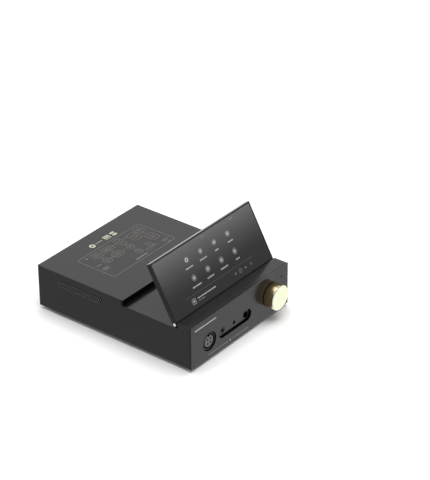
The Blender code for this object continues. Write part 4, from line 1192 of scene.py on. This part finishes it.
def make_rear_details():
    """Moulded and folded sockets with broken edges, and the contacts in two of them."""
    for node, width, segments in (
        ("power_inlet", 0.35, 3), ("switch_bezel", 0.3, 3), ("power_rocker", 0.5, 4),
        ("ethernet_socket", 0.15, 2), ("usb_socket", 0.15, 2),
    ):
        refine(node, width, segments)
    inlet, blades = Box("power_inlet"), bmesh.new()
    x, _, z = inlet.centre
    for dx, dz in ((-7.0, -2.0), (0.0, 2.0), (7.0, -2.0)):
        block(around(x + dx, 1.06), (inlet.low.y + 5.9, inlet.high.y - 3.1), around(z + dz, 2.06), blades)
    add_extra("inlet_blades", break_edges(blades, 0.4), NICKEL, "plated_metal")
    jack, contacts = Box("ethernet_socket"), bmesh.new()
    for i in range(8):
        block(around(jack.centre.x - 3.57 + 1.02 * i, 0.22), (jack.high.y - 12.0, jack.high.y - 2.5),
              (jack.centre.z + 3.3, jack.centre.z + 3.9), contacts)
    add_extra("network_contacts", contacts, GOLD, "gold_plate")


# ---------------------------------------------------------------- inside

def make_capacitors():
    """Cans with a crimped rim and a groove, and a lid scored with a cross."""
    for i in range(1, 5):
        node = f"reservoir_capacitor_{i}"
        can = Box(node)
        (x, y, low), top, radius = can.bottom, can.size.z, can.size.x / 2
        profile = [
            (0, top - 0.4), (radius - 1.3, top - 0.4), (radius - 0.9, top), (radius - 0.4, top),
            (radius, top - 0.6), (radius, 3.4), (radius - 0.7, 2.9), (radius - 0.7, 2.5),
            (radius, 2.0), (radius, 0.4), (radius - 0.4, 0), (0, 0),
        ]
        stand_in(node, lathe(profile, can.bottom), SLEEVE)
        lid = [(0, top - 0.32), (radius - 1.5, top - 0.32), (radius - 1.5, top - 0.39), (0, top - 0.39)]
        made = solid(node + "_lid", lathe(lid, can.bottom), TIN)
        score = (low + top - 0.36, low + top + 0.6)
        cross = [tool(block(around(x, a), around(y, b), score))
                 for a, b in ((radius - 2.2, 0.2), (0.2, radius - 2.2))]
        finish(cut(made, *cross), body="case", slot="steel_sheet")


def make_transformer():
    """Wound ring: turns of wire shown as shallow ridges round the section."""
    coil = Box("mains_transformer")
    middle = coil.size.x / 4 + 3.0
    half_width, half_height = coil.size.x / 2 - middle, coil.size.z / 2
    bm = bmesh.new()
    turns = 180
    rings = []
    for turn in range(turns):
        ridge = 0.0 if turn % 2 else 0.35
        section = rounded(around(0, half_width - ridge), around(0, half_height - ridge), 4.6, 6)
        place = Matrix.Translation(coil.centre) @ Matrix.Rotation(math.tau * turn / turns, 4, "Z")
        rings.append([bm.verts.new(place @ Vector((middle + u, 0, v))) for u, v in section])
    for here, after in zip(rings, rings[1:] + rings[:1]):
        skin(bm, here, after)
    finish(solid("wound_transformer", bm, SLEEVE), "mains_transformer", angle=60)


def make_board_parts():
    """Small chips and passives on the main and power boards, on free stretches of board."""
    top = Box("main_board").high.z
    chips, passives = bmesh.new(), bmesh.new()
    for x, y, width, depth in (
        (60, 20, 10, 10), (66, 50, 7, 9), (58, 80, 12, 6), (-8, 24, 9, 9), (-14, 50, 6, 8),
        (26, 4, 6, 6), (28, 20, 5, 5), (-14, 84, 8, 5), (14, 86, 6, 4),
    ):
        block(around(x, width / 2), around(y, depth / 2), (top + 0.1, top + 1.5), chips)
    for _ in range(60):
        x, y = rng.uniform(48, 80), rng.uniform(-4, 92)
        block(around(x, 0.8), around(y, 0.4), (top + 0.05, top + 0.7), passives)
    add_extra("board_chips", break_edges(chips, 0.2, 2), BLACK_PLASTIC, "black_plastic")
    add_extra("board_passives", passives, TIN, "plated_metal")


def make_inside():
    make_capacitors()
    make_transformer()
    make_board_parts()
    for width, nodes in (
        (0.25, ("bottom_plate", "encoder_body", "encoder_nut")),
        (0.1, ("main_board", "power_board", "socket_board", "screen_board", "radio_aerial")),
        (0.15, ("display_panel",)), (0.3, ("amplifier_heatsink", "encoder_shaft")),
        (0.4, ("streaming_module", "converter_shield")),
        (0.2, ("hinge_bracket_left", "hinge_bracket_right", "push_plunger")),
    ):
        for node in nodes:
            refine(node, width)


# ---------------------------------------------------------------- stage

def make_camera():
    """Long lens from the front left and above; aside and above are the frame's offset from the case."""
    azimuth, elevation, roll = (math.radians(a) for a in (CAMERA_AZIMUTH, CAMERA_ELEVATION, CAMERA_ROLL))
    turn = (Matrix.Rotation(azimuth, 4, "Z") @ Matrix.Rotation(QUARTER_TURN - elevation, 4, "X")
            @ Matrix.Rotation(roll, 4, "Z"))
    aim = Vector((CASE.centre.x, CASE.centre.y, BASE_Z))
    place = aim + turn @ Vector((CAMERA_ASIDE, CAMERA_ABOVE, CAMERA_DISTANCE))
    data = bpy.data.cameras.new("camera")
    data.lens = CAMERA_LENS
    data.clip_end = 50.0
    camera = bpy.data.objects.new("camera", data)
    camera.matrix_world = Matrix.Translation(place * MM) @ turn
    scene.collection.objects.link(camera)
    scene.camera = camera


def area_light(name, place, target, size, power, glossy):
    data = bpy.data.lights.new(name, "AREA")
    data.shape = "RECTANGLE"
    data.size, data.size_y = size
    data.energy = power
    light = bpy.data.objects.new(name, data)
    turn = (Vector(place) - Vector(target)).to_track_quat("Z", "Y")
    light.matrix_world = Matrix.Translation(place) @ turn.to_matrix().to_4x4()
    light.visible_glossy = glossy
    scene.collection.objects.link(light)


def make_sky():
    """Studio surroundings: bright in one direction, low at the back right, and dimmer away from it."""
    world = bpy.data.worlds.new("studio")
    scene.world = world
    world.use_nodes = True
    tree = world.node_tree
    direction = add_node(tree, "ShaderNodeTexCoord").outputs["Generated"]
    towards = add_node(tree, "ShaderNodeVectorMath", direction, BRIGHT_SKY_DIRECTION, operation="DOT_PRODUCT")
    level = add_node(tree, "ShaderNodeMapRange", towards.outputs["Value"], *SKY_BLEND, SKY_DARK, SKY_BRIGHT,
                     interpolation_type="SMOOTHSTEP")
    sky = tree.nodes["Background"]
    tree.links.new(level.outputs["Result"], sky.inputs["Strength"])
    sky.inputs["Color"].default_value = (1.0, 1.0, 1.0, 1.0)


def make_stage():
    """Floor, sky, a soft lamp overhead, and two cards that only give the knob its highlights."""
    reach = (-FLOOR_REACH, FLOOR_REACH)
    floor = solid("studio_floor", block(reach, reach, (-FLOOR_DEPTH, 0.0)), FLOOR)
    floor.visible_glossy = False
    make_sky()
    area_light("overhead", LAMP_PLACE, CASE.centre * MM, LAMP_SIZE, LAMP_POWER, False)
    knob = KNOB_AXIS * MM
    for name, towards, width in CARDS:
        place = knob + Vector(towards) * CARD_DISTANCE
        area_light(name, place, knob, (width, CARD_HEIGHT), CARD_POWER_PER_WIDTH * width, True)
    scene.view_settings.view_transform = "Standard"


def dress_cad():
    """Every CAD node gets its slot's material, also where another piece stands for it."""
    for node, slot in SLOT_OF.items():
        mesh = frame["nodes"][node].data
        mesh.materials.clear()
        mesh.materials.append(SLOT_MATERIALS[slot])


for make in (dress_cad, make_camera, make_stage, make_housing, make_posts, make_front, make_window, make_feet,
             make_screws, make_screen_shell, make_glass, make_hinge_pins, make_screen_image, make_deck_print,
             make_front_print, make_xlr_socket, make_jacks, make_lights, make_knob, make_rear_plate,
             make_xlr_outputs, make_phono_sockets, make_rear_details, make_inside):
    make()
